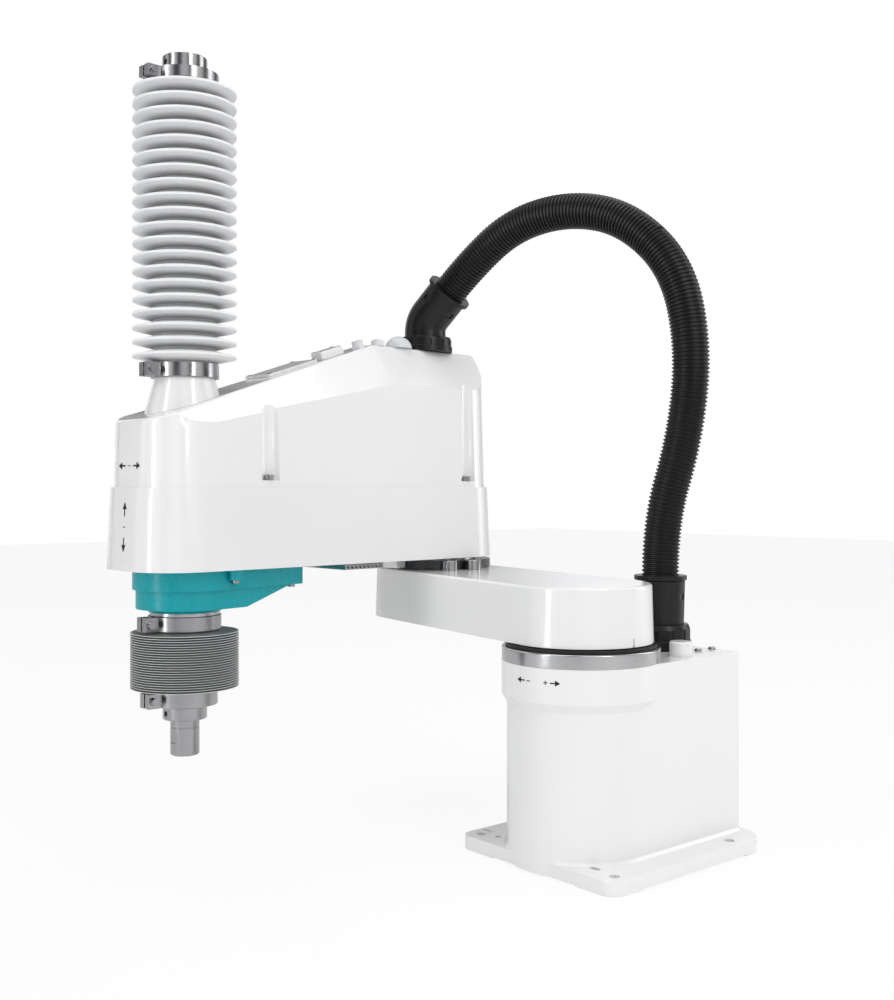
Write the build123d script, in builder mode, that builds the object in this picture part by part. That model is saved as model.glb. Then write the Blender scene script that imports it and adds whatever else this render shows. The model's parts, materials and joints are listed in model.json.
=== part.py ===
from build123d import *
import os
from math import asin, atan2, cos, degrees, hypot, pi, radians, sin, tan

os.makedirs("parts", exist_ok=True)

# A four axis SCARA robot, in millimetres. The origin is where the joint 1 axis meets the mounting face,
# +X is the robot's front and +Z is up. It stands in the pose of the photograph with the shaft at its top.

# Reach, stroke and rest pose, headings in degrees from +X
arm1_length = 250.0
arm2_length = 300.0
stroke = 200.0
arm1_heading = -100.0
arm2_heading = 3.0

# Clearances
running_gap = 0.05
seat_gap = 0.02
screw_gap = 0.1
sweep_gap = 1.0

# Base casting
base_front = 60.0
base_rear = 146.0
base_half_width = 91.0
base_thickness = 12.0
base_front_corner = 13.0
base_rear_corner = 28.0
pad_length = 27.0
rear_pad_length = 42.0
pad_relief = 1.0
pad_undercut = 20.0
body_radius = 64.0
body_rear = 142.0
body_corner = 5.0
body_top = 172.0
body_foot_skirt = 2.5
collar_radius = 68.5
collar_height = 29.0
collar_slope = 7.0
bolt_front = 45.0
bolt_rear = 105.0
bolt_half_gauge = 78.0
bolt_hole_radius = 4.5
dowel_radius = 3.0
slot_length = 10.0
slot_width = 5.0
well_radius = 52.0
well_floor = 16.0
bay_width = 104.0
bay_depth = 70.0
bay_bottom = 24.0
bay_top = 156.0
panel_thickness = 3.0
panel_margin = 6.0

# Joint 1 drive
ring_height = 12.0
ring_radius = 68.4
ring_bore = 46.0
ring_spigot = 8.0
seal_radius = 65.4
seal_height = 3.0
hub1_radius = 44.0
hub1_height = 8.0
reducer1_height = 50.0
joint1_gap = 16.0

# Upper arm
arm1_thickness = 50.0
arm1_bottom_radius = 62.5
arm1_top_radius = 61.0
arm1_edge = 2.5
notch_angle = 187.0
notch_width = 3.0
notch_height = 7.0

# Joint 2 drive and stops
joint2_gap = 12.0
reducer2_radius = 56.5
reducer2_depth = 36.0
reducer2_body = 50.0
reducer2_height = 9.0
hub2_radius = 42.0
stop_radius = 65.5
stop_spread = 11.2
stop_skew = 6.7
stop_head_radius = 8.0
stop_head_height = 10.0
stop_shank_radius = 5.0
stop_shank_length = 12.0
hard_stop = 140.0
lug_inner = 58.0
lug_outer = 74.0

# Forearm casting
arm2_rear = 46.0
arm2_front = 60.0
arm2_half_width = 58.4
arm2_corner = 42.0
arm2_height = 70.5
arm2_draft = 2.4
arm2_wall = 8.0
arm2_floor = 12.0
nut_bore = 37.0

# Forearm cover
cover_step = 3.0
cover_draft = 1.6
cover_wall = 3.0
cover_edge = 4.0
roof_height = 139.0
roof_peak = 100.0
roof_fall = 65.37
shoulder_height = 95.5
shoulder_fall = 42.5
shoulder_angle = 50.0
flute_radius = 10.2
flute_offset = 3.5
flute_floor = 6.0
flute_rear = 4.0
flute_setback = 54.0
cover_screw_inset = 2.5
cover_screw_head = 4.05
cover_screw_shank = 2.0

# Neck under the upper bellows
neck_rise = 20.6
neck_radius = 26.0
neck_flare = 15.5
neck_bore = 20.0
spigot_radius = 25.0
spigot_height = 11.5

# Bellows and their hose clamps
cuff_thickness = 1.9
band_thickness = 2.4
band_height = 12.4
fold_count_upper = 20
fold_count_lower = 24
fold_closed_upper = 2.1
fold_height_lower = 2.06
fold_radius_upper = 44.6
fold_radius_lower = 46.4
fold_root_upper = 27.2
fold_root_lower = 31.0
clamp_ear_reach = 13.0
clamp_ear_width = 15.0
clamp_slit = 2.0

# Shaft stack
shaft_radius = 12.5
shaft_bore = 7.0
shaft_tail = 31.4
shaft_recess = 1.8
flat_depth = 1.0
flat_rise = 11.0
flat_length = 11.0
tool_seat_length = 24.0
seat_groove_width = 1.5
seat_groove_depth = 0.5
spline_depth = 1.2
spline_radius = 2.0
collar_gap = 0.4
end_cuff_height = 15.2
top_cuff_height = 10.0
top_collar_radius = 19.3
top_collar_height = 13.5
end_collar_radius = 19.0
end_collar_height = 11.5
holder_radius = 24.0
bearing_height = 9.0
bearing_radius = 18.9
holder_cap = 2.0

# Lower neck and belt cover under the forearm
belt_cover_radius = 44.6
belt_cover_inset = 2.8
belt_cover_rim = 17.5
belt_cover_depth = 34.0
belt_cover_wall = 3.0
belt_cover_tip_half = 30.0
belt_cover_slope_start = 40.0
belt_cover_slope_margin = 12.0
tail_screw_margin = 7.0
ear_station = -22.0
ear_radius = 6.0
ear_height = 9.0
cover_bolt_radius = 2.0
cover_bolt_head = 3.4
boss_radius = 33.0
boss_height = 3.0
lower_ring_radius = 30.0
lower_ring_height = 3.3
lower_spigot_radius = 27.0
lower_spigot_height = 13.8

# Drives inside the forearm
motor_size = 60.0
motor_corner = 6.0
motor_shaft_radius = 7.0
joint1_motor_length = 96.0
joint2_motor_length = 104.0
joint4_motor_length = 72.0
joint3_motor_setback = 160.0
joint4_motor_setback = 85.0
pulley_height = 13.0
pulley_tooth_depth = 1.0
ball_nut_pulley_radius = 24.0
joint3_pulley_radius = 16.0
spline_pulley_radius = 34.0
joint4_pulley_radius = 11.5
ball_nut_teeth = 24
joint3_teeth = 16
spline_teeth = 34
joint4_teeth = 12
nut_radius = 20.0
belt_thickness = 2.0
belt_gap = 0.3
belt_width = 9.0
plate_level = 341.0
plate_thickness = 5.0
tower_radius = 30.0
tower_bore = 26.0

# Conduit
conduit_radius = 17.0
conduit_station = -107.0
elbow_station = 15.0
locknut_radius = 27.0
locknut_height = 15.0
base_locknut_height = 23.0
base_connector_height = 39.5
connector_radius = 22.4
lip_radius = 24.0
lip_height = 4.0
elbow_radius = 21.0
elbow_bend = 24.0
elbow_rise = 16.0
elbow_leg = 43.0
elbow_angle = 45.0

# Small parts
post_radius = 10.0
post_height = 13.0
post_station = -80.0
post_side = 45.0
lamp_station = 60.7
lamp_radius = 13.4
lamp_height = 12.0
lamp_foot = 2.0
fitting_line = 10.0
button_station = 88.0
button_radius = 4.9
bezel_radius = 6.6
bezel_height = 5.0
button_travel = 1.5
air_station = 13.0
connector_station = 48.0
plate_station = 94.0

# Joint axes
joint2_x = arm1_length * cos(radians(arm1_heading))
joint2_y = arm1_length * sin(radians(arm1_heading))
joint3_x = joint2_x + arm2_length * cos(radians(arm2_heading))
joint3_y = joint2_y + arm2_length * sin(radians(arm2_heading))

# Stations along the forearm that follow from its length
flute_stations = (flute_rear, arm2_length - flute_setback)
joint3_motor_station = arm2_length - joint3_motor_setback
joint4_motor_station = arm2_length - joint4_motor_setback
belt_cover_tip = joint4_motor_setback + motor_shaft_radius + joint4_pulley_radius + 1.5
tail_screw_station = tail_screw_margin - belt_cover_tip
shoulder_fall_end = arm2_length

# Heights that follow from the stack
ring_top = body_top + ring_height
arm1_bottom = body_top + joint1_gap
arm1_top = arm1_bottom + arm1_thickness
arm2_bottom = arm1_top + joint2_gap
floor_top = arm2_bottom + arm2_floor
cover_bottom = arm2_bottom + arm2_height
roof_level = cover_bottom + roof_height
belt_cover_bottom = arm2_bottom - belt_cover_depth
fold_height_upper = fold_closed_upper + stroke / fold_count_upper
roof_slope = degrees(atan2(roof_fall, arm2_length - roof_peak))
neck_height = roof_level - roof_fall + neck_rise
lower_ring_bottom = belt_cover_bottom - boss_height - lower_ring_height
lower_folds_top = lower_ring_bottom - lower_spigot_height
lower_folds_bottom = lower_folds_top - fold_count_lower * fold_height_lower
upper_folds_bottom = neck_height + band_height + collar_gap
upper_folds_top = upper_folds_bottom + fold_count_upper * fold_height_upper
end_holder_bottom = lower_folds_bottom - end_cuff_height
top_holder_top = upper_folds_top + top_cuff_height + collar_gap
shaft_top = top_holder_top + collar_gap + top_collar_height - shaft_recess
shaft_bottom = end_holder_bottom - collar_gap - end_collar_height - shaft_tail


def level(x, y, heading, z):
    """Horizontal plane at height z whose x runs along the heading."""
    along = (cos(radians(heading)), sin(radians(heading)), 0)
    return Plane(origin=(x, y, z), x_dir=along, z_dir=(0, 0, 1))


def base_level(z):
    return Plane.XY.offset(z)


def arm1_level(z):
    return level(0, 0, arm1_heading, z)


def joint2_level(z):
    return level(joint2_x, joint2_y, arm1_heading, z)


def arm2_level(z):
    return level(joint2_x, joint2_y, arm2_heading, z)


def shaft_level(z):
    return level(joint3_x, joint3_y, arm2_heading, z)


def arm2_section(y=0.0):
    """Upright plane along the forearm: x is the distance from joint 2, y is the height."""
    heading = radians(arm2_heading)
    origin = (joint2_x - y * sin(heading), joint2_y + y * cos(heading), 0)
    return Plane(origin=origin, x_dir=(cos(heading), sin(heading), 0), z_dir=(sin(heading), -cos(heading), 0))


def arm2_cross(x):
    """Upright plane across the forearm at a distance x from joint 2: x is sideways, y is the height."""
    heading = radians(arm2_heading)
    origin = (joint2_x + x * cos(heading), joint2_y + x * sin(heading), 0)
    return Plane(origin=origin, x_dir=(-sin(heading), cos(heading), 0), z_dir=(cos(heading), sin(heading), 0))


def roof_at(x):
    """Height of the cover's roof over a distance x from joint 2."""
    return roof_level - max(0.0, x - roof_peak) * tan(radians(roof_slope))


# Base casting: foot plate, round front tower, square rear housing
foot_middle = (base_front - base_rear) / 2
foot_length = base_front + base_rear
with BuildPart() as base_casting:
    with BuildSketch(base_level(0)) as foot_outline:
        with Locations((foot_middle, 0)):
            Rectangle(foot_length, 2 * base_half_width)
        fillet(foot_outline.vertices().group_by(Axis.X)[0], radius=base_rear_corner)
        fillet(foot_outline.vertices().group_by(Axis.X)[-1], radius=base_front_corner)
    extrude(amount=base_thickness)
    with BuildSketch(base_level(0)) as body_outline:
        with Locations((-body_rear / 2, 0)):
            Rectangle(body_rear, 2 * body_radius)
        Circle(body_radius)
        fillet(body_outline.vertices().group_by(Axis.X)[0], radius=body_corner)
    extrude(amount=body_top)
    with BuildSketch(base_level(base_thickness)):
        add(body_outline.sketch)
        offset(amount=body_foot_skirt)
        with Locations((base_front + body_radius, 0)):
            Rectangle(2 * body_radius, 4 * body_radius, mode=Mode.SUBTRACT)
    extrude(amount=body_foot_skirt, taper=45)
    with BuildSketch(base_level(0)):
        for side in (1, -1):
            with Locations((foot_middle, side * base_half_width)):
                Rectangle(foot_length - pad_length - rear_pad_length, 2 * pad_undercut)
            with Locations((base_front, 0), (-base_rear, 0)):
                Rectangle(2 * pad_undercut, 2 * (base_half_width - rear_pad_length))
    extrude(amount=pad_relief, mode=Mode.SUBTRACT)
    collar_base = body_top - collar_height
    with BuildSketch(base_level(collar_base - collar_slope)):
        Circle(body_radius)
    with BuildSketch(base_level(collar_base)):
        Circle(collar_radius)
    loft()
    with BuildSketch(base_level(collar_base)):
        Circle(collar_radius)
    extrude(amount=collar_height)
    with BuildSketch(base_level(body_top)):
        Circle(well_radius)
    extrude(amount=well_floor - body_top, mode=Mode.SUBTRACT)
    rear_face = Plane(origin=(-body_rear, 0, (bay_bottom + bay_top) / 2), x_dir=(0, 1, 0), z_dir=(-1, 0, 0))
    with BuildSketch(rear_face):
        RectangleRounded(bay_width, bay_top - bay_bottom, body_corner)
    extrude(amount=-bay_depth, mode=Mode.SUBTRACT)
    with BuildSketch(rear_face):
        RectangleRounded(bay_width + 2 * panel_margin, bay_top - bay_bottom + 2 * panel_margin, body_corner)
    extrude(amount=-panel_thickness, mode=Mode.SUBTRACT)
    with BuildSketch(base_level(body_top)):
        with Locations((conduit_station, 0)):
            Circle(conduit_radius)
    extrude(amount=bay_top - body_top, mode=Mode.SUBTRACT)
    with BuildSketch(base_level(base_thickness)):
        with Locations(((bolt_front - bolt_rear) / 2, 0)):
            with GridLocations(bolt_front + bolt_rear, 2 * bolt_half_gauge, 2, 2):
                Circle(bolt_hole_radius)
        with Locations((bolt_front - 5, 16 - bolt_half_gauge)):
            Circle(dowel_radius)
        with Locations((bolt_front - 11, -4 - bolt_half_gauge), (bolt_front - 3, bolt_half_gauge - 23)):
            SlotOverall(slot_length, slot_width, rotation=90)
    extrude(amount=-base_thickness, mode=Mode.SUBTRACT)
base_casting.part.label = "base_casting"

# Rear connector panel in its recess
panel_width = bay_width + 2 * panel_margin - 2 * screw_gap
panel_height = bay_top - bay_bottom + 2 * panel_margin - 2 * screw_gap
with BuildPart() as rear_panel:
    with BuildSketch(rear_face):
        RectangleRounded(panel_width, panel_height, body_corner)
    extrude(amount=-panel_thickness + seat_gap)
    with BuildSketch(rear_face):
        with GridLocations(panel_width - panel_margin, (panel_height - panel_margin) / 2, 2, 3):
            Circle(1.6)
    extrude(amount=-panel_thickness, mode=Mode.SUBTRACT)
rear_panel.part.label = "rear_panel"

# Power inlet: square flange with a round threaded shell
inlet_heights = {"power": -26.0, "signal": 22.0}
with BuildPart() as power_inlet:
    with BuildSketch(rear_face):
        with Locations((24, inlet_heights["power"])):
            RectangleRounded(34, 34, 3)
    extrude(amount=3)
    with BuildSketch(rear_face):
        with Locations((24, inlet_heights["power"])):
            Circle(14)
    extrude(amount=18)
    with BuildSketch(rear_face.offset(18)):
        with Locations((24, inlet_heights["power"])):
            Circle(11.5)
    extrude(amount=-12, mode=Mode.SUBTRACT)
power_inlet.part.label = "power_inlet"

# Signal inlet: two trapezoid shells on one flange
with BuildPart() as signal_inlet:
    with BuildSketch(rear_face):
        with Locations((0, inlet_heights["signal"])):
            RectangleRounded(62, 22, 3)
    extrude(amount=2)
    with BuildSketch(rear_face):
        with Locations((0, inlet_heights["signal"])):
            Trapezoid(42, 12, 80)
    extrude(amount=7)
    with BuildSketch(rear_face.offset(7)):
        with Locations((0, inlet_heights["signal"])):
            Trapezoid(38, 9, 80)
    extrude(amount=-4, mode=Mode.SUBTRACT)
signal_inlet.part.label = "signal_inlet"

# Push in air fittings for the user's lines
with BuildPart() as air_inlets:
    with BuildSketch(rear_face):
        with Locations((-16, inlet_heights["power"] - 12), (-16, inlet_heights["power"] + 12), (-38, -38)):
            RegularPolygon(6.5, 6)
    extrude(amount=5)
    with BuildSketch(rear_face.offset(5)):
        with Locations((-16, inlet_heights["power"] - 12), (-16, inlet_heights["power"] + 12), (-38, -38)):
            Circle(5)
            Circle(2.5, mode=Mode.SUBTRACT)
    extrude(amount=8)
air_inlets.part.label = "air_inlets"

# Screws of the rear panel and button heads on top of the rear housing
with BuildPart() as base_screws:
    with BuildSketch(rear_face):
        with GridLocations(panel_width - panel_margin, (panel_height - panel_margin) / 2, 2, 3):
            Circle(2.8)
    extrude(amount=1.8)
    with BuildSketch(base_level(body_top)):
        with Locations((-127, 0)):
            with GridLocations(20, 71, 2, 2):
                Circle(3.5)
    extrude(amount=2.2)
    top_heads = base_screws.faces().filter_by(Axis.Z).sort_by(Axis.Z)[-4:]
    chamfer(top_heads.edges(), length=1.0)
base_screws.part.label = "base_screws"

# Blanking post on the rear housing
with BuildPart() as blanking_post:
    with BuildSketch(base_level(body_top)):
        with Locations((post_station, post_side)):
            Circle(post_radius)
    extrude(amount=post_height)
    chamfer(blanking_post.edges().group_by(Axis.Z)[-1], length=1.2)
blanking_post.part.label = "blanking_post"

# Machined joint 1 ring with its centring spigot
with BuildPart() as joint1_ring:
    with BuildSketch(base_level(body_top)):
        Circle(ring_radius)
        Circle(ring_bore, mode=Mode.SUBTRACT)
    extrude(amount=ring_height)
    chamfer(joint1_ring.edges().group_by(Axis.Z)[-1].sort_by(SortBy.LENGTH)[-1], length=0.8)
    with BuildSketch(base_level(body_top)):
        Circle(well_radius - running_gap)
        Circle(ring_bore, mode=Mode.SUBTRACT)
    extrude(amount=-ring_spigot)
joint1_ring.part.label = "joint1_ring"

# Lip seal on the ring
with BuildPart() as joint1_seal:
    with BuildSketch(base_level(ring_top)):
        Circle(seal_radius)
        Circle(ring_bore + sweep_gap, mode=Mode.SUBTRACT)
    extrude(amount=seal_height)
joint1_seal.part.label = "joint1_seal"

# Joint 1 speed reducer, closed unit with an input bore
with BuildPart() as joint1_reducer:
    reducer_bottom = ring_top - hub1_height - reducer1_height
    with BuildSketch(base_level(reducer_bottom)):
        Circle(ring_bore - seat_gap)
        Circle(motor_shaft_radius + running_gap, mode=Mode.SUBTRACT)
    extrude(amount=reducer1_height)
joint1_reducer.part.label = "joint1_reducer"


def servo_motor(mount_level, body_length, shaft_length, up):
    """Closed servo motor below (up) or above (down) its mounting face, with its shaft through that face."""
    way = 1 if up else -1
    with BuildPart() as motor:
        with BuildSketch(mount_level):
            RectangleRounded(motor_size, motor_size, motor_corner)
        extrude(amount=-way * 8)
        with BuildSketch(mount_level.offset(-way * 8)):
            RectangleRounded(motor_size - 4, motor_size - 4, motor_corner + 4)
        extrude(amount=-way * (body_length - 28))
        with BuildSketch(mount_level.offset(-way * (body_length - 20))):
            RectangleRounded(motor_size - 8, motor_size - 8, motor_corner)
        extrude(amount=-way * 20)
        with BuildSketch(mount_level):
            Circle(motor_shaft_radius)
        extrude(amount=way * shaft_length)
    return motor.part


joint1_motor = servo_motor(base_level(reducer_bottom), joint1_motor_length, 30.0, True)
joint1_motor.label = "joint1_motor"

# Output flange that carries the upper arm
with BuildPart() as joint1_hub:
    with BuildSketch(base_level(arm1_bottom)):
        Circle(hub1_radius)
    extrude(amount=-(arm1_bottom - ring_top) - hub1_height + sweep_gap / 2)
joint1_hub.part.label = "joint1_hub"

# Upper arm: a drafted bar with round ends
with BuildPart() as arm1_casting:
    arm1_taper = degrees(atan2(arm1_bottom_radius - arm1_top_radius, arm1_thickness))
    with BuildSketch(arm1_level(arm1_bottom)):
        with Locations((arm1_length / 2, 0)):
            SlotCenterToCenter(arm1_length, 2 * arm1_bottom_radius)
    extrude(amount=arm1_thickness, taper=arm1_taper)
    fillet(arm1_casting.edges().group_by(Axis.Z)[-1], radius=arm1_edge)
    with BuildSketch(joint2_level(arm1_top)):
        Circle(reducer2_body)
    extrude(amount=-reducer2_depth, mode=Mode.SUBTRACT)
    with BuildSketch(joint2_level(arm1_top)):
        with PolarLocations(stop_radius, 2, 180 - stop_skew - stop_spread, 4 * stop_spread):
            Circle(stop_shank_radius)
    extrude(amount=-stop_shank_length, mode=Mode.SUBTRACT)
    with BuildSketch(level(0, 0, arm1_heading + notch_angle, arm1_bottom)):
        with Locations((arm1_bottom_radius, 0)):
            Rectangle(3, notch_width)
    extrude(amount=notch_height, mode=Mode.SUBTRACT)
arm1_casting.part.label = "arm1_casting"

# Joint 2 speed reducer, sunk in the upper arm, with the bearing ring seen in the gap
with BuildPart() as joint2_reducer:
    with BuildSketch(joint2_level(arm1_top)):
        Circle(reducer2_body - running_gap)
    extrude(amount=-reducer2_depth + seat_gap)
    with BuildSketch(joint2_level(arm1_top)):
        Circle(reducer2_radius)
    extrude(amount=reducer2_height)
    with BuildSketch(joint2_level(arm1_top + reducer2_height)):
        Circle(hub2_radius + running_gap)
    extrude(amount=-reducer2_height, mode=Mode.SUBTRACT)
joint2_reducer.part.label = "joint2_reducer"

# Stop screws on the upper arm
with BuildPart() as stop_screws:
    with BuildSketch(joint2_level(arm1_top)):
        with PolarLocations(stop_radius, 2, 180 - stop_skew - stop_spread, 4 * stop_spread):
            Circle(stop_head_radius)
    extrude(amount=stop_head_height)
    chamfer(stop_screws.edges().group_by(Axis.Z)[-1], length=0.6)
    with BuildSketch(joint2_level(arm1_top)):
        with PolarLocations(stop_radius, 2, 180 - stop_skew - stop_spread, 4 * stop_spread):
            Circle(stop_shank_radius - screw_gap)
    extrude(amount=-stop_shank_length)
    with BuildSketch(joint2_level(arm1_top + stop_head_height)):
        with PolarLocations(stop_radius, 2, 180 - stop_skew - stop_spread, 4 * stop_spread):
            RegularPolygon(4.6, 6)
    extrude(amount=-5, mode=Mode.SUBTRACT)
stop_screws.part.label = "stop_screws"

# Output flange of joint 2 under the forearm
with BuildPart() as joint2_hub:
    with BuildSketch(arm2_level(arm2_bottom)):
        Circle(hub2_radius)
    extrude(amount=-joint2_gap + sweep_gap)
joint2_hub.part.label = "joint2_hub"

# Forearm casting: drafted trough that carries the drives
arm2_mid = (arm2_length + arm2_front - arm2_rear) / 2
arm2_total = arm2_length + arm2_front + arm2_rear
arm2_lean = arm2_height * tan(radians(arm2_draft))
with BuildPart() as arm2_casting:
    with BuildSketch(arm2_level(arm2_bottom)):
        with Locations((arm2_mid, 0)):
            RectangleRounded(arm2_total, 2 * arm2_half_width, arm2_corner)
    extrude(amount=arm2_height, taper=arm2_draft)
    rim = arm2_lean + arm2_wall
    with BuildSketch(arm2_level(floor_top)):
        with Locations((arm2_mid, 0)):
            RectangleRounded(arm2_total - 2 * rim, 2 * (arm2_half_width - rim), arm2_corner - rim)
    extrude(amount=arm2_height, mode=Mode.SUBTRACT)
    screw_line = arm2_half_width - arm2_lean - cover_step - cover_screw_inset
    with BuildSketch(arm2_level(floor_top)):
        for station in flute_stations:
            for side in (1, -1):
                with Locations((station, side * screw_line)):
                    Circle(5.5)
    extrude(amount=cover_bottom - floor_top)
    with BuildSketch(arm2_level(cover_bottom)):
        for station in flute_stations:
            with Locations((station, screw_line), (station, -screw_line)):
                Circle(cover_screw_shank + screw_gap)
    extrude(amount=-14, mode=Mode.SUBTRACT)
    with BuildSketch(shaft_level(arm2_bottom)):
        Circle(nut_bore)
    extrude(amount=arm2_floor, mode=Mode.SUBTRACT)
    with BuildSketch(arm2_level(arm2_bottom)):
        with Locations((joint4_motor_station, 0)):
            Circle(joint4_pulley_radius + belt_thickness + sweep_gap / 2)
        Circle(motor_shaft_radius + sweep_gap)
    extrude(amount=arm2_floor, mode=Mode.SUBTRACT)
    lug_half = 180 - hard_stop - stop_spread - degrees(asin(stop_head_radius / stop_radius))
    with BuildSketch(arm2_level(arm2_bottom)):
        with BuildLine(Plane.XY):
            CenterArc((0, 0), lug_outer, -stop_skew - lug_half, 2 * lug_half)
            CenterArc((0, 0), lug_inner, -stop_skew - lug_half, 2 * lug_half)
            for edge_angle in (-stop_skew - lug_half, -stop_skew + lug_half):
                inner_point = (lug_inner * cos(radians(edge_angle)), lug_inner * sin(radians(edge_angle)))
                outer_point = (lug_outer * cos(radians(edge_angle)), lug_outer * sin(radians(edge_angle)))
                Line(inner_point, outer_point)
        make_face()
    extrude(amount=-joint2_gap + 2 * sweep_gap)
arm2_casting.part.label = "arm2_casting"

# Forearm cover
cover_half = arm2_half_width - arm2_lean - cover_step
cover_total = arm2_total - 2 * (arm2_lean + cover_step)
cover_corner = arm2_corner - arm2_lean - cover_step


def bounds_roof(edge):
    """Whether an edge runs along a side or the front of the roof, so that it gets the soft rounding."""
    ends = [arm2_level(0).to_local_coords(edge @ share) for share in (0, 1)]
    crease = all(abs(end.X - roof_peak) < 1 for end in ends)
    rear = all(end.X < 0 for end in ends)
    return not crease and not rear and all(abs(end.Z - roof_at(end.X)) < 0.5 for end in ends)


def cover_block(inset, flute_start):
    """Solid block of the cover's form, moved inwards from its skin."""
    slant = radians(roof_slope)
    shoulder = radians(shoulder_angle)
    front_end = arm2_length + arm2_front + 20
    rear_end = -arm2_rear - 20
    half = cover_half - inset
    roof = roof_level - inset
    peak = roof_peak - inset * tan(slant / 2)
    crease = cover_bottom + shoulder_height - inset * (1 - sin(shoulder)) / cos(shoulder)
    with BuildPart() as block:
        with BuildSketch(arm2_level(cover_bottom)):
            with Locations((arm2_mid, 0)):
                RectangleRounded(cover_total - 2 * inset, 2 * half, cover_corner - inset)
        extrude(amount=roof_height + 1, taper=cover_draft)
        with BuildSketch(arm2_section()):
            with BuildLine():
                Polyline(
                    (rear_end, cover_bottom),
                    (rear_end, roof),
                    (peak, roof),
                    (front_end, roof - (front_end - peak) * tan(slant)),
                    (front_end, cover_bottom),
                    close=True,
                )
            make_face()
        extrude(amount=2 * arm2_half_width, both=True, mode=Mode.INTERSECT)
        for side in (1, -1):
            stations = (
                (rear_end, crease),
                (roof_peak, crease),
                (shoulder_fall_end, crease - shoulder_fall),
                (front_end, crease - shoulder_fall),
            )
            for (start, start_height), (end, end_height) in zip(stations, stations[1:]):
                for x, height in ((start, start_height), (end, end_height)):
                    with BuildSketch(arm2_cross(x)):
                        with BuildLine():
                            Polyline(
                                (side * half, height),
                                (side * (half + 30), height),
                                (side * (half + 30), height + half * tan(shoulder)),
                                (0, height + half * tan(shoulder)),
                                close=True,
                            )
                        make_face()
                loft(ruled=True, mode=Mode.SUBTRACT)
        with BuildSketch(arm2_level(flute_start)):
            for station in flute_stations:
                for side in (1, -1):
                    with Locations((station, side * (cover_half + flute_offset))):
                        Circle(flute_radius + inset)
        extrude(amount=roof_height + 10, mode=Mode.SUBTRACT)
        if not inset:
            fillet(block.edges().filter_by(bounds_roof), radius=cover_edge)
    return block.part


with BuildPart() as arm2_cover:
    add(cover_block(0, cover_bottom + flute_floor))
    add(cover_block(cover_wall, cover_bottom), mode=Mode.SUBTRACT)
    with BuildSketch(arm2_level(cover_bottom)):
        for station in flute_stations:
            with Locations((station, screw_line), (station, -screw_line)):
                Circle(cover_screw_shank + screw_gap)
    extrude(amount=flute_floor, mode=Mode.SUBTRACT)
    with BuildSketch(shaft_level(cover_bottom)):
        Circle(neck_bore)
    extrude(amount=roof_height, mode=Mode.SUBTRACT)
arm2_cover.part.label = "arm2_cover"

# Cover screws at the foot of the flutes
with BuildPart() as cover_screws:
    with BuildSketch(arm2_level(cover_bottom + flute_floor)):
        for station in flute_stations:
            with Locations((station, screw_line), (station, -screw_line)):
                Circle(cover_screw_head)
    extrude(amount=5)
    with BuildSketch(arm2_level(cover_bottom + flute_floor)):
        for station in flute_stations:
            with Locations((station, screw_line), (station, -screw_line)):
                Circle(cover_screw_shank)
    extrude(amount=-flute_floor - 10)
cover_screws.part.label = "cover_screws"

# Neck: flared collar on the sloping roof that holds the upper bellows
shaft_axis = Axis((joint3_x, joint3_y, 0), (0, 0, 1))
neck_foot = roof_at(arm2_length + 60)
with BuildPart() as neck:
    flare = neck_radius + (neck_height - neck_foot) * tan(radians(neck_flare))
    with BuildSketch(shaft_level(neck_foot)):
        Circle(flare)
    with BuildSketch(shaft_level(neck_height)):
        Circle(neck_radius)
    loft()
    with BuildSketch(shaft_level(neck_height)):
        Circle(spigot_radius)
    extrude(amount=spigot_height)
    add(cover_block(0, cover_bottom + flute_floor), mode=Mode.SUBTRACT)
    with BuildSketch(shaft_level(neck_foot)):
        Circle(neck_bore)
    extrude(amount=neck_height + spigot_height - neck_foot, mode=Mode.SUBTRACT)
neck.part.label = "neck"

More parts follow.
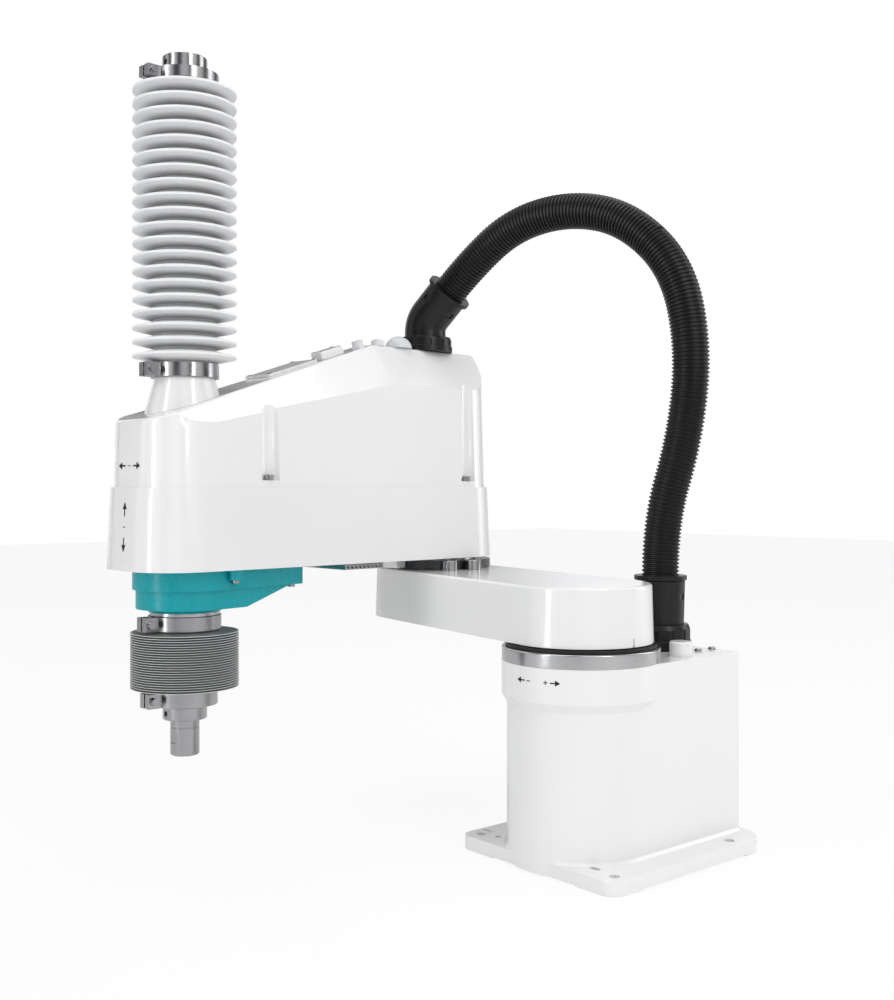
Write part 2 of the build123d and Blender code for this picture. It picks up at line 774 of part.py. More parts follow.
# Belt cover under the shaft end: round tub with a tapering tail
ear_line = belt_cover_radius + 1.4
tail_screw_line = belt_cover_tip_half - 8
ear_spots = ((ear_station, ear_line), (ear_station, -ear_line))
tail_spots = ((tail_screw_station, tail_screw_line), (tail_screw_station, -tail_screw_line))
with BuildPart() as belt_cover:
    rim_bottom = arm2_bottom - belt_cover_rim
    belt_cover_steps = ((0, rim_bottom, arm2_bottom), (belt_cover_inset, belt_cover_bottom, rim_bottom))
    for inset, bottom, top in belt_cover_steps:
        with BuildSketch(shaft_level(bottom)):
            Circle(belt_cover_radius - inset)
            with Locations((-belt_cover_tip + inset + 2, 0)):
                Rectangle(4, 2 * (belt_cover_tip_half - inset))
            make_hull()
        extrude(amount=top - bottom)
    with BuildSketch(arm2_section()):
        with BuildLine():
            Polyline(
                (arm2_length - belt_cover_slope_start, belt_cover_bottom),
                (arm2_length - belt_cover_tip + belt_cover_slope_margin, rim_bottom),
                (arm2_length - 2 * belt_cover_tip, rim_bottom),
                (arm2_length - 2 * belt_cover_tip, belt_cover_bottom),
                close=True,
            )
        make_face()
    extrude(amount=arm2_half_width, both=True, mode=Mode.SUBTRACT)
    with BuildSketch(shaft_level(belt_cover_bottom)):
        Circle(boss_radius)
    extrude(amount=-boss_height, taper=30)
    with BuildSketch(shaft_level(arm2_bottom)):
        with Locations(*ear_spots):
            Circle(ear_radius)
    extrude(amount=-ear_height)
    with BuildSketch(shaft_level(arm2_bottom)):
        Circle(belt_cover_radius - belt_cover_wall - 1)
        with Locations((-belt_cover_tip + belt_cover_wall + 2, 0)):
            Rectangle(4, 2 * (belt_cover_tip_half - belt_cover_wall))
        make_hull()
    extrude(amount=-belt_cover_rim + belt_cover_wall, mode=Mode.SUBTRACT)
    with BuildSketch(shaft_level(arm2_bottom)):
        Circle(belt_cover_radius - belt_cover_inset - belt_cover_wall)
    extrude(amount=-belt_cover_depth + belt_cover_wall, mode=Mode.SUBTRACT)
    with BuildSketch(shaft_level(arm2_bottom)):
        Circle(nut_radius + sweep_gap)
    extrude(amount=-belt_cover_depth - boss_height, mode=Mode.SUBTRACT)
    with BuildSketch(shaft_level(arm2_bottom)):
        with Locations(*ear_spots):
            Circle(cover_bolt_radius + screw_gap)
        with Locations(*tail_spots):
            Circle(cover_bolt_radius + screw_gap)
    extrude(amount=-belt_cover_rim, mode=Mode.SUBTRACT)
belt_cover.part.label = "belt_cover"

# Screws of the belt cover, driven from below
with BuildPart() as belt_cover_screws:
    with BuildSketch(shaft_level(arm2_bottom - ear_height)):
        with Locations(*ear_spots):
            Circle(cover_bolt_head)
    extrude(amount=-3)
    with BuildSketch(shaft_level(arm2_bottom - ear_height)):
        with Locations(*ear_spots):
            Circle(cover_bolt_radius)
    extrude(amount=ear_height - seat_gap)
    with BuildSketch(shaft_level(arm2_bottom - belt_cover_rim)):
        with Locations(*tail_spots):
            Circle(cover_bolt_head)
    extrude(amount=-3)
    with BuildSketch(shaft_level(arm2_bottom - belt_cover_rim)):
        with Locations(*tail_spots):
            Circle(cover_bolt_radius)
    extrude(amount=belt_cover_rim - seat_gap)
belt_cover_screws.part.label = "belt_cover_screws"

# Ring and spigot that hold the lower bellows
with BuildPart() as lower_neck:
    with BuildSketch(shaft_level(lower_ring_bottom)):
        Circle(lower_ring_radius)
        Circle(nut_radius + sweep_gap, mode=Mode.SUBTRACT)
    extrude(amount=lower_ring_height)
    with BuildSketch(shaft_level(lower_ring_bottom)):
        Circle(lower_spigot_radius)
        Circle(nut_radius + sweep_gap, mode=Mode.SUBTRACT)
    extrude(amount=-lower_spigot_height)
lower_neck.part.label = "lower_neck"

# Heat sink let into the underside of the forearm
with BuildPart() as heat_sink:
    sink_room = arm2_length - belt_cover_tip - lug_outer
    sink_length = 0.38 * sink_room
    sink_mid = lug_outer + 0.56 * sink_room
    with BuildSketch(arm2_level(arm2_bottom)):
        with Locations((sink_mid, 0)):
            Rectangle(sink_length, 2 * arm2_half_width - 8)
    extrude(amount=-2.5)
    with BuildSketch(arm2_level(arm2_bottom - 2.5)):
        with Locations((sink_mid, 0)):
            with GridLocations((sink_length - 2.2) / 9, 0, 10, 1):
                Rectangle(2.2, 2 * arm2_half_width - 8)
    extrude(amount=-3.2)
heat_sink.part.label = "heat_sink"


def bellows(bottom_radius, bottom_height, root, outer, start, pitch, count, top_radius, top_height):
    """Cuffs and folds turned round the shaft axis; cuff radii are the spigots they sit on."""
    count = int(count)
    end = start + pitch * count
    cuff_radius = bottom_radius + cuff_thickness
    points = [(cuff_radius, start - bottom_height), (cuff_radius, start)]
    for fold in range(count):
        points.append((root, start + pitch * (fold + 0.08)))
        points.append((outer, start + pitch * (fold + 0.42)))
        points.append((outer, start + pitch * (fold + 0.58)))
        points.append((root, start + pitch * (fold + 0.92)))
    points.append((top_radius + cuff_thickness, end))
    points.append((top_radius + cuff_thickness, end + top_height))
    points.append((top_radius + seat_gap, end + top_height))
    points.append((top_radius + seat_gap, end))
    points.append((bottom_radius + seat_gap, start))
    points.append((bottom_radius + seat_gap, start - bottom_height))
    section = Plane(
        origin=(joint3_x, joint3_y, 0),
        x_dir=(cos(radians(arm2_heading)), sin(radians(arm2_heading)), 0),
        z_dir=(sin(radians(arm2_heading)), -cos(radians(arm2_heading)), 0),
    )
    with BuildPart() as folds:
        with BuildSketch(section):
            with BuildLine():
                Polyline(*points, close=True)
            make_face()
        revolve(axis=shaft_axis)
    return folds.part


upper_bellows = bellows(
    spigot_radius,
    band_height + collar_gap - seat_gap,
    fold_root_upper,
    fold_radius_upper,
    upper_folds_bottom,
    fold_height_upper,
    fold_count_upper,
    spigot_radius,
    top_cuff_height,
)
upper_bellows.label = "upper_bellows"
lower_bellows = bellows(
    holder_radius,
    end_cuff_height - 2 * collar_gap,
    fold_root_lower,
    fold_radius_lower,
    lower_folds_bottom,
    fold_height_lower,
    fold_count_lower,
    lower_spigot_radius,
    lower_spigot_height - seat_gap,
)
lower_bellows.label = "lower_bellows"


def hose_clamp(cuff_radius, bottom, height):
    """Band clamp round a cuff, with split ears and a tangent screw in front."""
    inner = cuff_radius + seat_gap
    outer = inner + band_thickness
    with BuildPart() as clamp:
        with BuildSketch(shaft_level(bottom)):
            Circle(outer)
            with Locations((outer + clamp_ear_reach / 2 - 2, 0)):
                Rectangle(clamp_ear_reach, clamp_ear_width)
            Circle(inner, mode=Mode.SUBTRACT)
            with Locations((outer + clamp_ear_reach / 2, 0)):
                Rectangle(clamp_ear_reach + 4 * band_thickness, clamp_slit, mode=Mode.SUBTRACT)
        extrude(amount=height)
        with BuildSketch(arm2_section(-clamp_ear_width / 2 - 1.5)):
            with Locations((arm2_length + outer + clamp_ear_reach / 2, bottom + height / 2)):
                Circle(height * 0.26)
        extrude(amount=-clamp_ear_width - 5)
    return clamp.part


spigot_cuff_radius = spigot_radius + cuff_thickness
arm2_clamps = Compound(
    children=[
        hose_clamp(spigot_cuff_radius, neck_height + collar_gap, band_height - collar_gap),
        hose_clamp(lower_spigot_radius + cuff_thickness, lower_ring_bottom - band_height, band_height - 0.2),
    ]
)
arm2_clamps.label = "arm2_clamps"
lift_clamps = Compound(
    children=[
        hose_clamp(spigot_cuff_radius, upper_folds_top + collar_gap, top_cuff_height - collar_gap),
        hose_clamp(holder_radius + cuff_thickness, end_holder_bottom + 2 * collar_gap, band_height),
    ]
)
lift_clamps.label = "lift_clamps"


def bearing_holder(bottom, top, radius, pocket_up):
    """Cup on the shaft that takes a bellows cuff outside and a bearing inside."""
    with BuildPart() as holder:
        with BuildSketch(shaft_level(bottom)):
            Circle(radius)
            Circle(shaft_radius + sweep_gap, mode=Mode.SUBTRACT)
        extrude(amount=top - bottom)
        pocket = top if pocket_up else bottom
        with BuildSketch(shaft_level(pocket)):
            Circle(bearing_radius + seat_gap)
        extrude(amount=(-1 if pocket_up else 1) * (bearing_height + holder_cap), mode=Mode.SUBTRACT)
    return holder.part


top_holder = bearing_holder(upper_folds_top - 8, top_holder_top, spigot_radius, True)
top_holder.label = "top_holder"
end_holder = bearing_holder(end_holder_bottom, lower_folds_bottom + 3, holder_radius, False)
end_holder.label = "end_holder"

# Shaft bearings in the two holders
with BuildPart() as holder_bearings:
    for bottom in (top_holder_top - bearing_height - 0.5, end_holder_bottom + 0.5):
        with BuildSketch(shaft_level(bottom)):
            Circle(bearing_radius)
            Circle(shaft_radius + running_gap, mode=Mode.SUBTRACT)
        extrude(amount=bearing_height)
holder_bearings.part.label = "holder_bearings"

# Hollow ball spline shaft with the wrench flat at its lower end
with BuildPart() as spline_shaft:
    with BuildSketch(shaft_level(shaft_bottom)):
        Circle(shaft_radius)
        Circle(shaft_bore, mode=Mode.SUBTRACT)
    extrude(amount=shaft_top - shaft_bottom)
    chamfer(spline_shaft.edges().group_by(Axis.Z)[0].sort_by(SortBy.LENGTH)[-1], length=1.0)
    groove_bottom = end_holder_bottom + 20
    with BuildSketch(shaft_level(groove_bottom)):
        with PolarLocations(shaft_radius + spline_radius - spline_depth, 4, 45):
            Circle(spline_radius)
    extrude(amount=top_holder_top - bearing_height - 6 - groove_bottom, mode=Mode.SUBTRACT)
    with BuildSketch(shaft_level(shaft_bottom + flat_rise)):
        with Locations((shaft_radius, 0)):
            Rectangle(2 * flat_depth, 2 * shaft_radius)
    extrude(amount=flat_length, mode=Mode.SUBTRACT)
    with BuildSketch(shaft_level(shaft_bottom + tool_seat_length)):
        Circle(shaft_radius)
        Circle(shaft_radius - seat_groove_depth, mode=Mode.SUBTRACT)
    extrude(amount=seat_groove_width, mode=Mode.SUBTRACT)
spline_shaft.part.label = "spline_shaft"


def shaft_collar(bottom, height, radius):
    """Set collar on the shaft with a radial set screw hole in front."""
    with BuildPart() as collar:
        with BuildSketch(shaft_level(bottom)):
            Circle(radius)
            Circle(shaft_radius + seat_gap, mode=Mode.SUBTRACT)
        extrude(amount=height)
        chamfer(collar.edges().filter_by(GeomType.CIRCLE).sort_by(SortBy.LENGTH)[-2:], length=0.7)
        with BuildSketch(arm2_cross(arm2_length + radius)):
            with Locations((0, bottom + height / 2)):
                Circle(2.5)
        extrude(amount=-(radius - shaft_radius) / 2, mode=Mode.SUBTRACT)
    return collar.part


top_collar = shaft_collar(top_holder_top + collar_gap, top_collar_height, top_collar_radius)
top_collar.label = "top_collar"
end_collar_bottom = end_holder_bottom - collar_gap - end_collar_height
end_collar = shaft_collar(end_collar_bottom, end_collar_height, end_collar_radius)
end_collar.label = "end_collar"


def belt_pulley(center_plane, radius, teeth, bore):
    """Toothed pulley with two rims, standing on its plane."""
    with BuildPart() as pulley:
        with BuildSketch(center_plane):
            Circle(radius)
            with PolarLocations(radius, teeth):
                Circle(pulley_tooth_depth, mode=Mode.SUBTRACT)
            Circle(bore, mode=Mode.SUBTRACT)
        extrude(amount=pulley_height)
        for rim_bottom in (0.0, pulley_height - 1.2):
            with BuildSketch(center_plane.offset(rim_bottom)):
                Circle(radius + belt_thickness)
                Circle(bore, mode=Mode.SUBTRACT)
            extrude(amount=1.2)
    return pulley.part


def drive_belt(center_plane, near, near_radius, far, far_radius):
    """Closed belt round two pulleys at distances near and far along the plane's x."""
    with BuildPart() as belt:
        with BuildSketch(center_plane):
            for x, radius in ((near, near_radius), (far, far_radius)):
                with Locations((x, 0)):
                    Circle(radius + belt_gap + belt_thickness)
            make_hull()
            with BuildSketch(mode=Mode.PRIVATE) as inside:
                for x, radius in ((near, near_radius), (far, far_radius)):
                    with Locations((x, 0)):
                        Circle(radius + belt_gap)
                make_hull()
            add(inside.sketch, mode=Mode.SUBTRACT)
        extrude(amount=belt_width)
    return belt.part


# Lift drive: motor, plate, ball screw nut on its tower
pulley_level = plate_level + plate_thickness + 4
joint3_axis = (
    joint2_x + joint3_motor_station * cos(radians(arm2_heading)),
    joint2_y + joint3_motor_station * sin(radians(arm2_heading)),
)
joint3_motor_length = plate_level - floor_top - seat_gap
joint3_motor = servo_motor(
    level(*joint3_axis, arm2_heading, plate_level),
    joint3_motor_length,
    pulley_level + pulley_height - plate_level - 1,
    True,
)
joint3_motor.label = "joint3_motor"
with BuildPart() as motor_plate:
    with BuildSketch(arm2_level(plate_level)):
        with Locations(((joint3_motor_station + arm2_length) / 2, 0)):
            RectangleRounded(joint3_motor_setback + 2 * tower_radius + 2, 2 * tower_radius + 4, 8)
        with Locations((joint3_motor_station, 0)):
            Circle(joint3_pulley_radius, mode=Mode.SUBTRACT)
        with Locations((arm2_length, 0)):
            Circle(nut_radius + sweep_gap, mode=Mode.SUBTRACT)
    extrude(amount=plate_thickness)
motor_plate.part.label = "motor_plate"
with BuildPart() as nut_tower:
    with BuildSketch(shaft_level(floor_top)):
        Circle(nut_bore + 3)
        Circle(tower_bore, mode=Mode.SUBTRACT)
    extrude(amount=6)
    with BuildSketch(shaft_level(floor_top)):
        Circle(tower_radius)
        Circle(tower_bore, mode=Mode.SUBTRACT)
    extrude(amount=plate_level - floor_top)
nut_tower.part.label = "nut_tower"
with BuildPart() as nut_bearings:
    for bottom in (floor_top + 28, plate_level - 14):
        with BuildSketch(shaft_level(bottom)):
            Circle(tower_bore - seat_gap)
            Circle(nut_radius + running_gap, mode=Mode.SUBTRACT)
        extrude(amount=12)
    with BuildSketch(shaft_level(arm2_bottom + 0.5)):
        Circle(nut_bore - seat_gap)
        Circle(nut_radius + running_gap, mode=Mode.SUBTRACT)
    extrude(amount=arm2_floor - 0.5)
nut_bearings.part.label = "nut_bearings"
with BuildPart() as ball_nut:
    with BuildSketch(shaft_level(floor_top + 24)):
        Circle(nut_radius)
        Circle(shaft_radius + running_gap, mode=Mode.SUBTRACT)
    extrude(amount=pulley_level + pulley_height - floor_top - 24)
ball_nut.part.label = "ball_nut"
pulley_seat = nut_radius + seat_gap
motor_seat = motor_shaft_radius + seat_gap
ball_nut_pulley = belt_pulley(shaft_level(pulley_level), ball_nut_pulley_radius, ball_nut_teeth, pulley_seat)
ball_nut_pulley.label = "ball_nut_pulley"
joint3_level = level(*joint3_axis, arm2_heading, pulley_level)
joint3_pulley = belt_pulley(joint3_level, joint3_pulley_radius, joint3_teeth, motor_seat)
joint3_pulley.label = "joint3_pulley"
joint3_belt = drive_belt(
    arm2_level(pulley_level + 2),
    joint3_motor_station,
    joint3_pulley_radius,
    arm2_length,
    ball_nut_pulley_radius,
)
joint3_belt.label = "joint3_belt"

# Turning drive: motor, spline nut and belt in the belt cover
turn_level = arm2_bottom - pulley_height - 0.6
joint4_axis = (
    joint2_x + joint4_motor_station * cos(radians(arm2_heading)),
    joint2_y + joint4_motor_station * sin(radians(arm2_heading)),
)
joint4_motor = servo_motor(
    level(*joint4_axis, arm2_heading, floor_top), joint4_motor_length, floor_top - turn_level - 1, False
)
joint4_motor.label = "joint4_motor"
joint4_level = level(*joint4_axis, arm2_heading, turn_level)
joint4_pulley = belt_pulley(joint4_level, joint4_pulley_radius, joint4_teeth, motor_seat)
joint4_pulley.label = "joint4_pulley"
with BuildPart() as spline_nut:
    with BuildSketch(shaft_level(belt_cover_bottom - 1.5)):
        Circle(nut_radius)
        Circle(shaft_radius + running_gap, mode=Mode.SUBTRACT)
    extrude(amount=floor_top + 14 - belt_cover_bottom + 1.5)
spline_nut.part.label = "spline_nut"
spline_pulley = belt_pulley(shaft_level(turn_level), spline_pulley_radius, spline_teeth, pulley_seat)
spline_pulley.label = "spline_pulley"
joint4_belt = drive_belt(
    arm2_level(turn_level + 2), joint4_motor_station, joint4_pulley_radius, arm2_length, spline_pulley_radius
)
joint4_belt.label = "joint4_belt"
joint2_motor = servo_motor(arm2_level(floor_top), joint2_motor_length, 10.0, False)
joint2_motor.label = "joint2_motor"

# Conduit route in the upright plane through both fittings, as distance from the base fitting and height
elbow_x = joint2_x + elbow_station * cos(radians(arm2_heading))
elbow_y = joint2_y + elbow_station * sin(radians(arm2_heading))
conduit_span = hypot(elbow_x - conduit_station, elbow_y)
conduit_way = ((elbow_x - conduit_station) / conduit_span, elbow_y / conduit_span)


def route_point(distance, height):
    return Vector(conduit_station + conduit_way[0] * distance, conduit_way[1] * distance, height)


base_lip_top = body_top + base_locknut_height + base_connector_height + lip_height + 1.0
elbow_corner = roof_level + locknut_height + elbow_rise
mouth_distance = conduit_span - elbow_leg * sin(radians(elbow_angle))
mouth_height = elbow_corner + elbow_leg * cos(radians(elbow_angle))
route = [
    route_point(0, base_lip_top),
    route_point(0, 288),
    route_point(-23.5, 366),
    route_point(-32, 445),
    route_point(-17, 522),
    route_point(33, 573),
    route_point(93, 589.5),
    route_point(155, 580),
    route_point(mouth_distance - 23.3, mouth_height + 23.3),
    route_point(mouth_distance, mouth_height),
]
split_run = 4
split_point = (route[split_run] + route[split_run + 1]) * 0.5
route_runs = [(after - before).length for before, after in zip(route, route[1:])]
route_radii = []
for index in range(1, len(route) - 1):
    turn = radians((route[index] - route[index - 1]).get_angle(route[index + 1] - route[index]))
    route_radii.append(0.45 * min(route_runs[index - 1], route_runs[index]) / tan(turn / 2))


def conduit(points, radii, label):
    """Tube of straight runs and tangent arcs through the points."""
    with BuildPart() as tube:
        with BuildLine() as path:
            FilletPolyline(*points, radius=radii)
        with BuildSketch(path.line ^ 0):
            Circle(conduit_radius)
        sweep(path=path.line)
    section = pi * conduit_radius**2
    length = path.wires()[0].length
    print(label, "radii", [round(r) for r in radii], "length", round(length, 1))
    print(label, "volume share", round(tube.part.volume / (section * length), 4))
    tube.part.label = label
    return tube.part


conduit_lower = conduit(route[: split_run + 1] + [split_point], route_radii[:split_run], "conduit_lower")
conduit_upper = conduit([split_point] + route[split_run + 1 :], route_radii[split_run:], "conduit_upper")


def locknut(plane, height, radius):
    """Round conduit nut with grip notches over a wider seat."""
    with BuildPart() as nut:
        with BuildSketch(plane):
            Circle(radius + 1)
        extrude(amount=height * 0.36)
        with BuildSketch(plane.offset(height * 0.36)):
            Circle(radius)
            with PolarLocations(radius, 12):
                Rectangle(1.6, 4, mode=Mode.SUBTRACT)
        extrude(amount=height * 0.44)
        with BuildSketch(plane.offset(height * 0.8)):
            Circle(radius)
        extrude(amount=height * 0.2, taper=20)
    return nut.part


def clip_windows(plane, radius, count):
    """Sketch of the rectangular pockets where the conduit clips in, seen from the tube's end."""
    with BuildSketch(plane) as pockets:
        with PolarLocations(radius, count):
            Rectangle(3, 8)
    return pockets.sketch


# Straight connector that carries the conduit on the base
base_locknut = locknut(level(conduit_station, 0, 0, body_top), base_locknut_height, locknut_radius)
base_locknut.label = "base_locknut"
connector_bottom = body_top + base_locknut_height
with BuildPart() as base_connector:
    with BuildSketch(level(conduit_station, 0, 0, connector_bottom)):
        Circle(connector_radius - 1)
    with BuildSketch(level(conduit_station, 0, 0, connector_bottom + base_connector_height)):
        Circle(connector_radius)
    loft()
    with BuildSketch(level(conduit_station, 0, 0, connector_bottom + base_connector_height)):
        Circle(conduit_radius + 1.5)
    extrude(amount=1.0)
    with BuildSketch(level(conduit_station, 0, 0, connector_bottom + base_connector_height + 1.0)):
        Circle(lip_radius)
    extrude(amount=lip_height)
    add(
        extrude(
            clip_windows(level(conduit_station, 0, 12, connector_bottom + 22), connector_radius, 4),
            amount=6,
            mode=Mode.PRIVATE,
        ),
        mode=Mode.SUBTRACT,
    )
base_connector.part.label = "base_connector"

# Elbow on the forearm
elbow_locknut = locknut(level(elbow_x, elbow_y, 0, roof_level), locknut_height, locknut_radius)
elbow_locknut.label = "elbow_locknut"
with BuildPart() as elbow:
    elbow_foot = route_point(conduit_span, roof_level + locknut_height)
    elbow_knee = route_point(conduit_span, elbow_corner)
    mouth = route_point(mouth_distance, mouth_height)
    with BuildLine() as elbow_path:
        FilletPolyline(elbow_foot, elbow_knee, mouth, radius=elbow_bend)
    with BuildSketch(elbow_path.line ^ 0):
        Circle(elbow_radius)
    sweep(path=elbow_path.line)
    mouth_plane = Plane(elbow_path.line ^ 1)
    with BuildSketch(mouth_plane):
        Circle(lip_radius)
    extrude(amount=-lip_height)
    add(
        extrude(clip_windows(mouth_plane.offset(-14), elbow_radius, 4), amount=-6, mode=Mode.PRIVATE),
        mode=Mode.SUBTRACT,
    )
elbow.part.label = "elbow"

# Status lamp: translucent dome on the roof
with BuildPart() as status_lamp:
    with BuildSketch(arm2_level(roof_level)):
        with Locations((lamp_station, fitting_line)):
            Circle(lamp_radius)
    extrude(amount=lamp_foot)
    cap_height = lamp_height - lamp_foot
    cap_radius = (lamp_radius**2 + cap_height**2) / (2 * cap_height)
    crown = (lamp_station, roof_level + lamp_height)
    cap_rim = (lamp_station + lamp_radius, roof_level + lamp_foot)
    cap_middle = (lamp_station, roof_level + lamp_foot)
    with BuildSketch(arm2_section(fitting_line)):
        with BuildLine():
            Line(cap_middle, crown)
            RadiusArc(crown, cap_rim, cap_radius)
            Line(cap_rim, cap_middle)
        make_face()
    lamp_center = arm2_level(roof_level).from_local_coords(Vector(lamp_station, fitting_line, 0))
    revolve(axis=Axis(lamp_center, (0, 0, 1)))
status_lamp.part.label = "status_lamp"

# Brake release button in its bezel, and the air fitting beside it
with BuildPart() as button_bezel:
    with BuildSketch(arm2_level(roof_level)):
        with Locations((button_station, fitting_line)):
            Circle(bezel_radius)
            Circle(button_radius, mode=Mode.SUBTRACT)
    extrude(amount=bezel_height)
button_bezel.part.label = "button_bezel"
with BuildPart() as brake_button:
    with BuildSketch(arm2_level(roof_level + bezel_height - button_travel - button_travel)):
        with Locations((button_station, fitting_line)):
            Circle(button_radius - running_gap)
    extrude(amount=3 * button_travel)
brake_button.part.label = "brake_button"
slope_heading = radians(arm2_heading)
slope_along = (
    cos(slope_heading) * cos(radians(roof_slope)),
    sin(slope_heading) * cos(radians(roof_slope)),
    -sin(radians(roof_slope)),
)
slope_normal = (
    cos(slope_heading) * sin(radians(roof_slope)),
    sin(slope_heading) * sin(radians(roof_slope)),
    cos(radians(roof_slope)),
)
slope_origin = arm2_level(roof_level).from_local_coords(Vector(roof_peak, 0, 0))
roof_plane = Plane(origin=slope_origin, x_dir=slope_along, z_dir=slope_normal)
with BuildPart() as air_fitting:
    with BuildSketch(roof_plane):
        with Locations((air_station, fitting_line)):
            RegularPolygon(6.4, 6)
    extrude(amount=3)
    with BuildSketch(roof_plane.offset(3)):
        with Locations((air_station, fitting_line)):
            Circle(5.4)
            Circle(2.6, mode=Mode.SUBTRACT)
    extrude(amount=4.5)
air_fitting.part.label = "air_fitting"

# User connector and access plate on the sloping roof
with BuildPart() as user_connector:
    with BuildSketch(roof_plane):
        with Locations((connector_station, fitting_line / 2)):
            RectangleRounded(28, 17, 2)
    extrude(amount=8)
    chamfer(user_connector.faces().sort_by(Axis.Z)[-1].edges(), length=0.8)
user_connector.part.label = "user_connector"
with BuildPart() as access_plate:
    with BuildSketch(roof_plane):
        with Locations((plate_station, -fitting_line)):
            RectangleRounded(60, 40, 3)
    extrude(amount=2.5)
access_plate.part.label = "access_plate"

pieces = [
    base_casting.part,
    rear_panel.part,
    power_inlet.part,
    signal_inlet.part,
    air_inlets.part,
    base_screws.part,
    blanking_post.part,
    joint1_ring.part,
    joint1_seal.part,
    joint1_reducer.part,
    joint1_motor,
    base_locknut,
    base_connector.part,
    conduit_lower,
    joint1_hub.part,
    arm1_casting.part,
    joint2_reducer.part,
    stop_screws.part,
    joint2_hub.part,
    arm2_casting.part,
    arm2_cover.part,
    cover_screws.part,
    neck.part,
    belt_cover.part,
    belt_cover_screws.part,
    lower_neck.part,
    heat_sink.part,
    upper_bellows,
    lower_bellows,
    arm2_clamps,
    joint2_motor,
    joint3_motor,
    joint4_motor,
    motor_plate.part,
    nut_tower.part,
    nut_bearings.part,
    joint3_belt,
    joint4_belt,
    elbow_locknut,
    elbow.part,
    conduit_upper,
    status_lamp.part,
    button_bezel.part,
    air_fitting.part,
    user_connector.part,
    access_plate.part,
    brake_button.part,
    ball_nut.part,
    ball_nut_pulley,
    joint3_pulley,
    spline_nut.part,
    spline_pulley,
    joint4_pulley,
    top_holder,
    end_holder,
    holder_bearings.part,
    lift_clamps,
    spline_shaft.part,
    top_collar,
    end_collar,
]
for piece in pieces:
    export_step(piece, f"parts/{piece.label}.step")
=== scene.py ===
import json
import math

import bmesh
import bpy
from bpy.props import FloatProperty, FloatVectorProperty, IntProperty, PointerProperty
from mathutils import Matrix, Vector


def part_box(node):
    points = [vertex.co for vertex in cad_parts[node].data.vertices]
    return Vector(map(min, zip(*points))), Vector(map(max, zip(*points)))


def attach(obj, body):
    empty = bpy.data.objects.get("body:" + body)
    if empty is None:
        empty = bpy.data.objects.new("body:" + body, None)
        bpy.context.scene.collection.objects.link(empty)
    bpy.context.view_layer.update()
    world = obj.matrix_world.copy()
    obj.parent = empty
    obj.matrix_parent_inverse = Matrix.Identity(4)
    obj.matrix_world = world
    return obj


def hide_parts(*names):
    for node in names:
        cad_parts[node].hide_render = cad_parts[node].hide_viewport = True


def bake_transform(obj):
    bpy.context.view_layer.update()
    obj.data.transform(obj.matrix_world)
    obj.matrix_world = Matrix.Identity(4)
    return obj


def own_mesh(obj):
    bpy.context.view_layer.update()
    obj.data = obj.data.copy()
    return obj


bl_info = {
    "name": "Scara robot",
    "version": (1, 0, 0),
    "blender": (4, 5, 0),
    "location": "View3D > Sidebar > Scara",
    "description": "Dresses a four axis horizontal arm robot in paint, steel, bellows and ribbed conduit",
    "category": "Object",
}

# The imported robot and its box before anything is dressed
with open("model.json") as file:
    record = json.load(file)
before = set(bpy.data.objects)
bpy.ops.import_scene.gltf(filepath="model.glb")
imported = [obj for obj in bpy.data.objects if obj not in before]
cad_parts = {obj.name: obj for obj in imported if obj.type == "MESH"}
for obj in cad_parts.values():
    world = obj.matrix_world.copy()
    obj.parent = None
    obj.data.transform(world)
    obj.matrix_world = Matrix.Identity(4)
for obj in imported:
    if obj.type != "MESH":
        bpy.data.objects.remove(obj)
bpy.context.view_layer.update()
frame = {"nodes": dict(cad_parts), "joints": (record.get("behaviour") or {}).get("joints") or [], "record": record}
nodes = frame["nodes"]
slot_of = {part["node"]: part["material_slot"] for part in frame["record"]["subparts"]}
body_of = {n: body for body, names in frame["record"]["behaviour"]["bodies"].items() for n in names}
joints = {joint["name"]: joint for joint in frame["joints"]}

# Joint axes and the forearm's direction at rest
joint2_axis = Vector(joints["joint2"]["pos_m"])
joint3_axis = Vector(joints["joint4"]["pos_m"])
forearm_along = (joint3_axis - joint2_axis).to_2d().normalized().to_3d()
forearm_across = Vector((-forearm_along.y, forearm_along.x, 0))

# Photograph's camera
camera_place = (0.7717, 0.7200, 0.3204)
camera_heading = math.radians(-130.68)
camera_lens = 43.616
camera_shift = -0.01275

# Printed direction marks: gap over the paint, and the strokes of the plus and minus signs
mark_gap = 0.0001
sign_size = 0.0036
sign_stroke = 0.0008

# Marks on the collar: place round it, drop below its top, arrow size, and distance of arrows and signs
mark_azimuth = math.radians(11)
mark_drop = 0.0235
collar_arrow = 0.009
collar_spread = 0.0125
sign_offset = 0.0085

# Marks on the forearm's cover and casting: arrow size, distance of arrows and height up the face
cover_arrow = 0.011
cover_spread = 0.0065
cover_rise = 0.018
casting_arrow = 0.012
casting_spread = 0.009
casting_rise = 0.037

# What counts as a housing's front: half width of its middle, distance from the shaft, foot and top
front_half_width = 0.019
front_distance = 0.045
foot_band = 0.004
top_band = 0.03

# Slope of the cover's roof in degrees and height of the upper bellows' top cuff, the same as the solid's
roof_slope = 18.1
upper_cuff = 0.010

# Screws: name, node under them, length and width of the pattern, radius and height of the heads
screw_groups = (
    ("plate_screws", "access_plate", 0.0522, 0.0326, 0.0022, 0.0012),
    ("connector_screws", "user_connector", 0.022, 0.012, 0.0014, 0.0008),
)


def forearm_point(along, across, height):
    """A point by its distance along and across the forearm from joint 2."""
    place = joint2_axis + forearm_along * along + forearm_across * across
    return Vector((place.x, place.y, height))


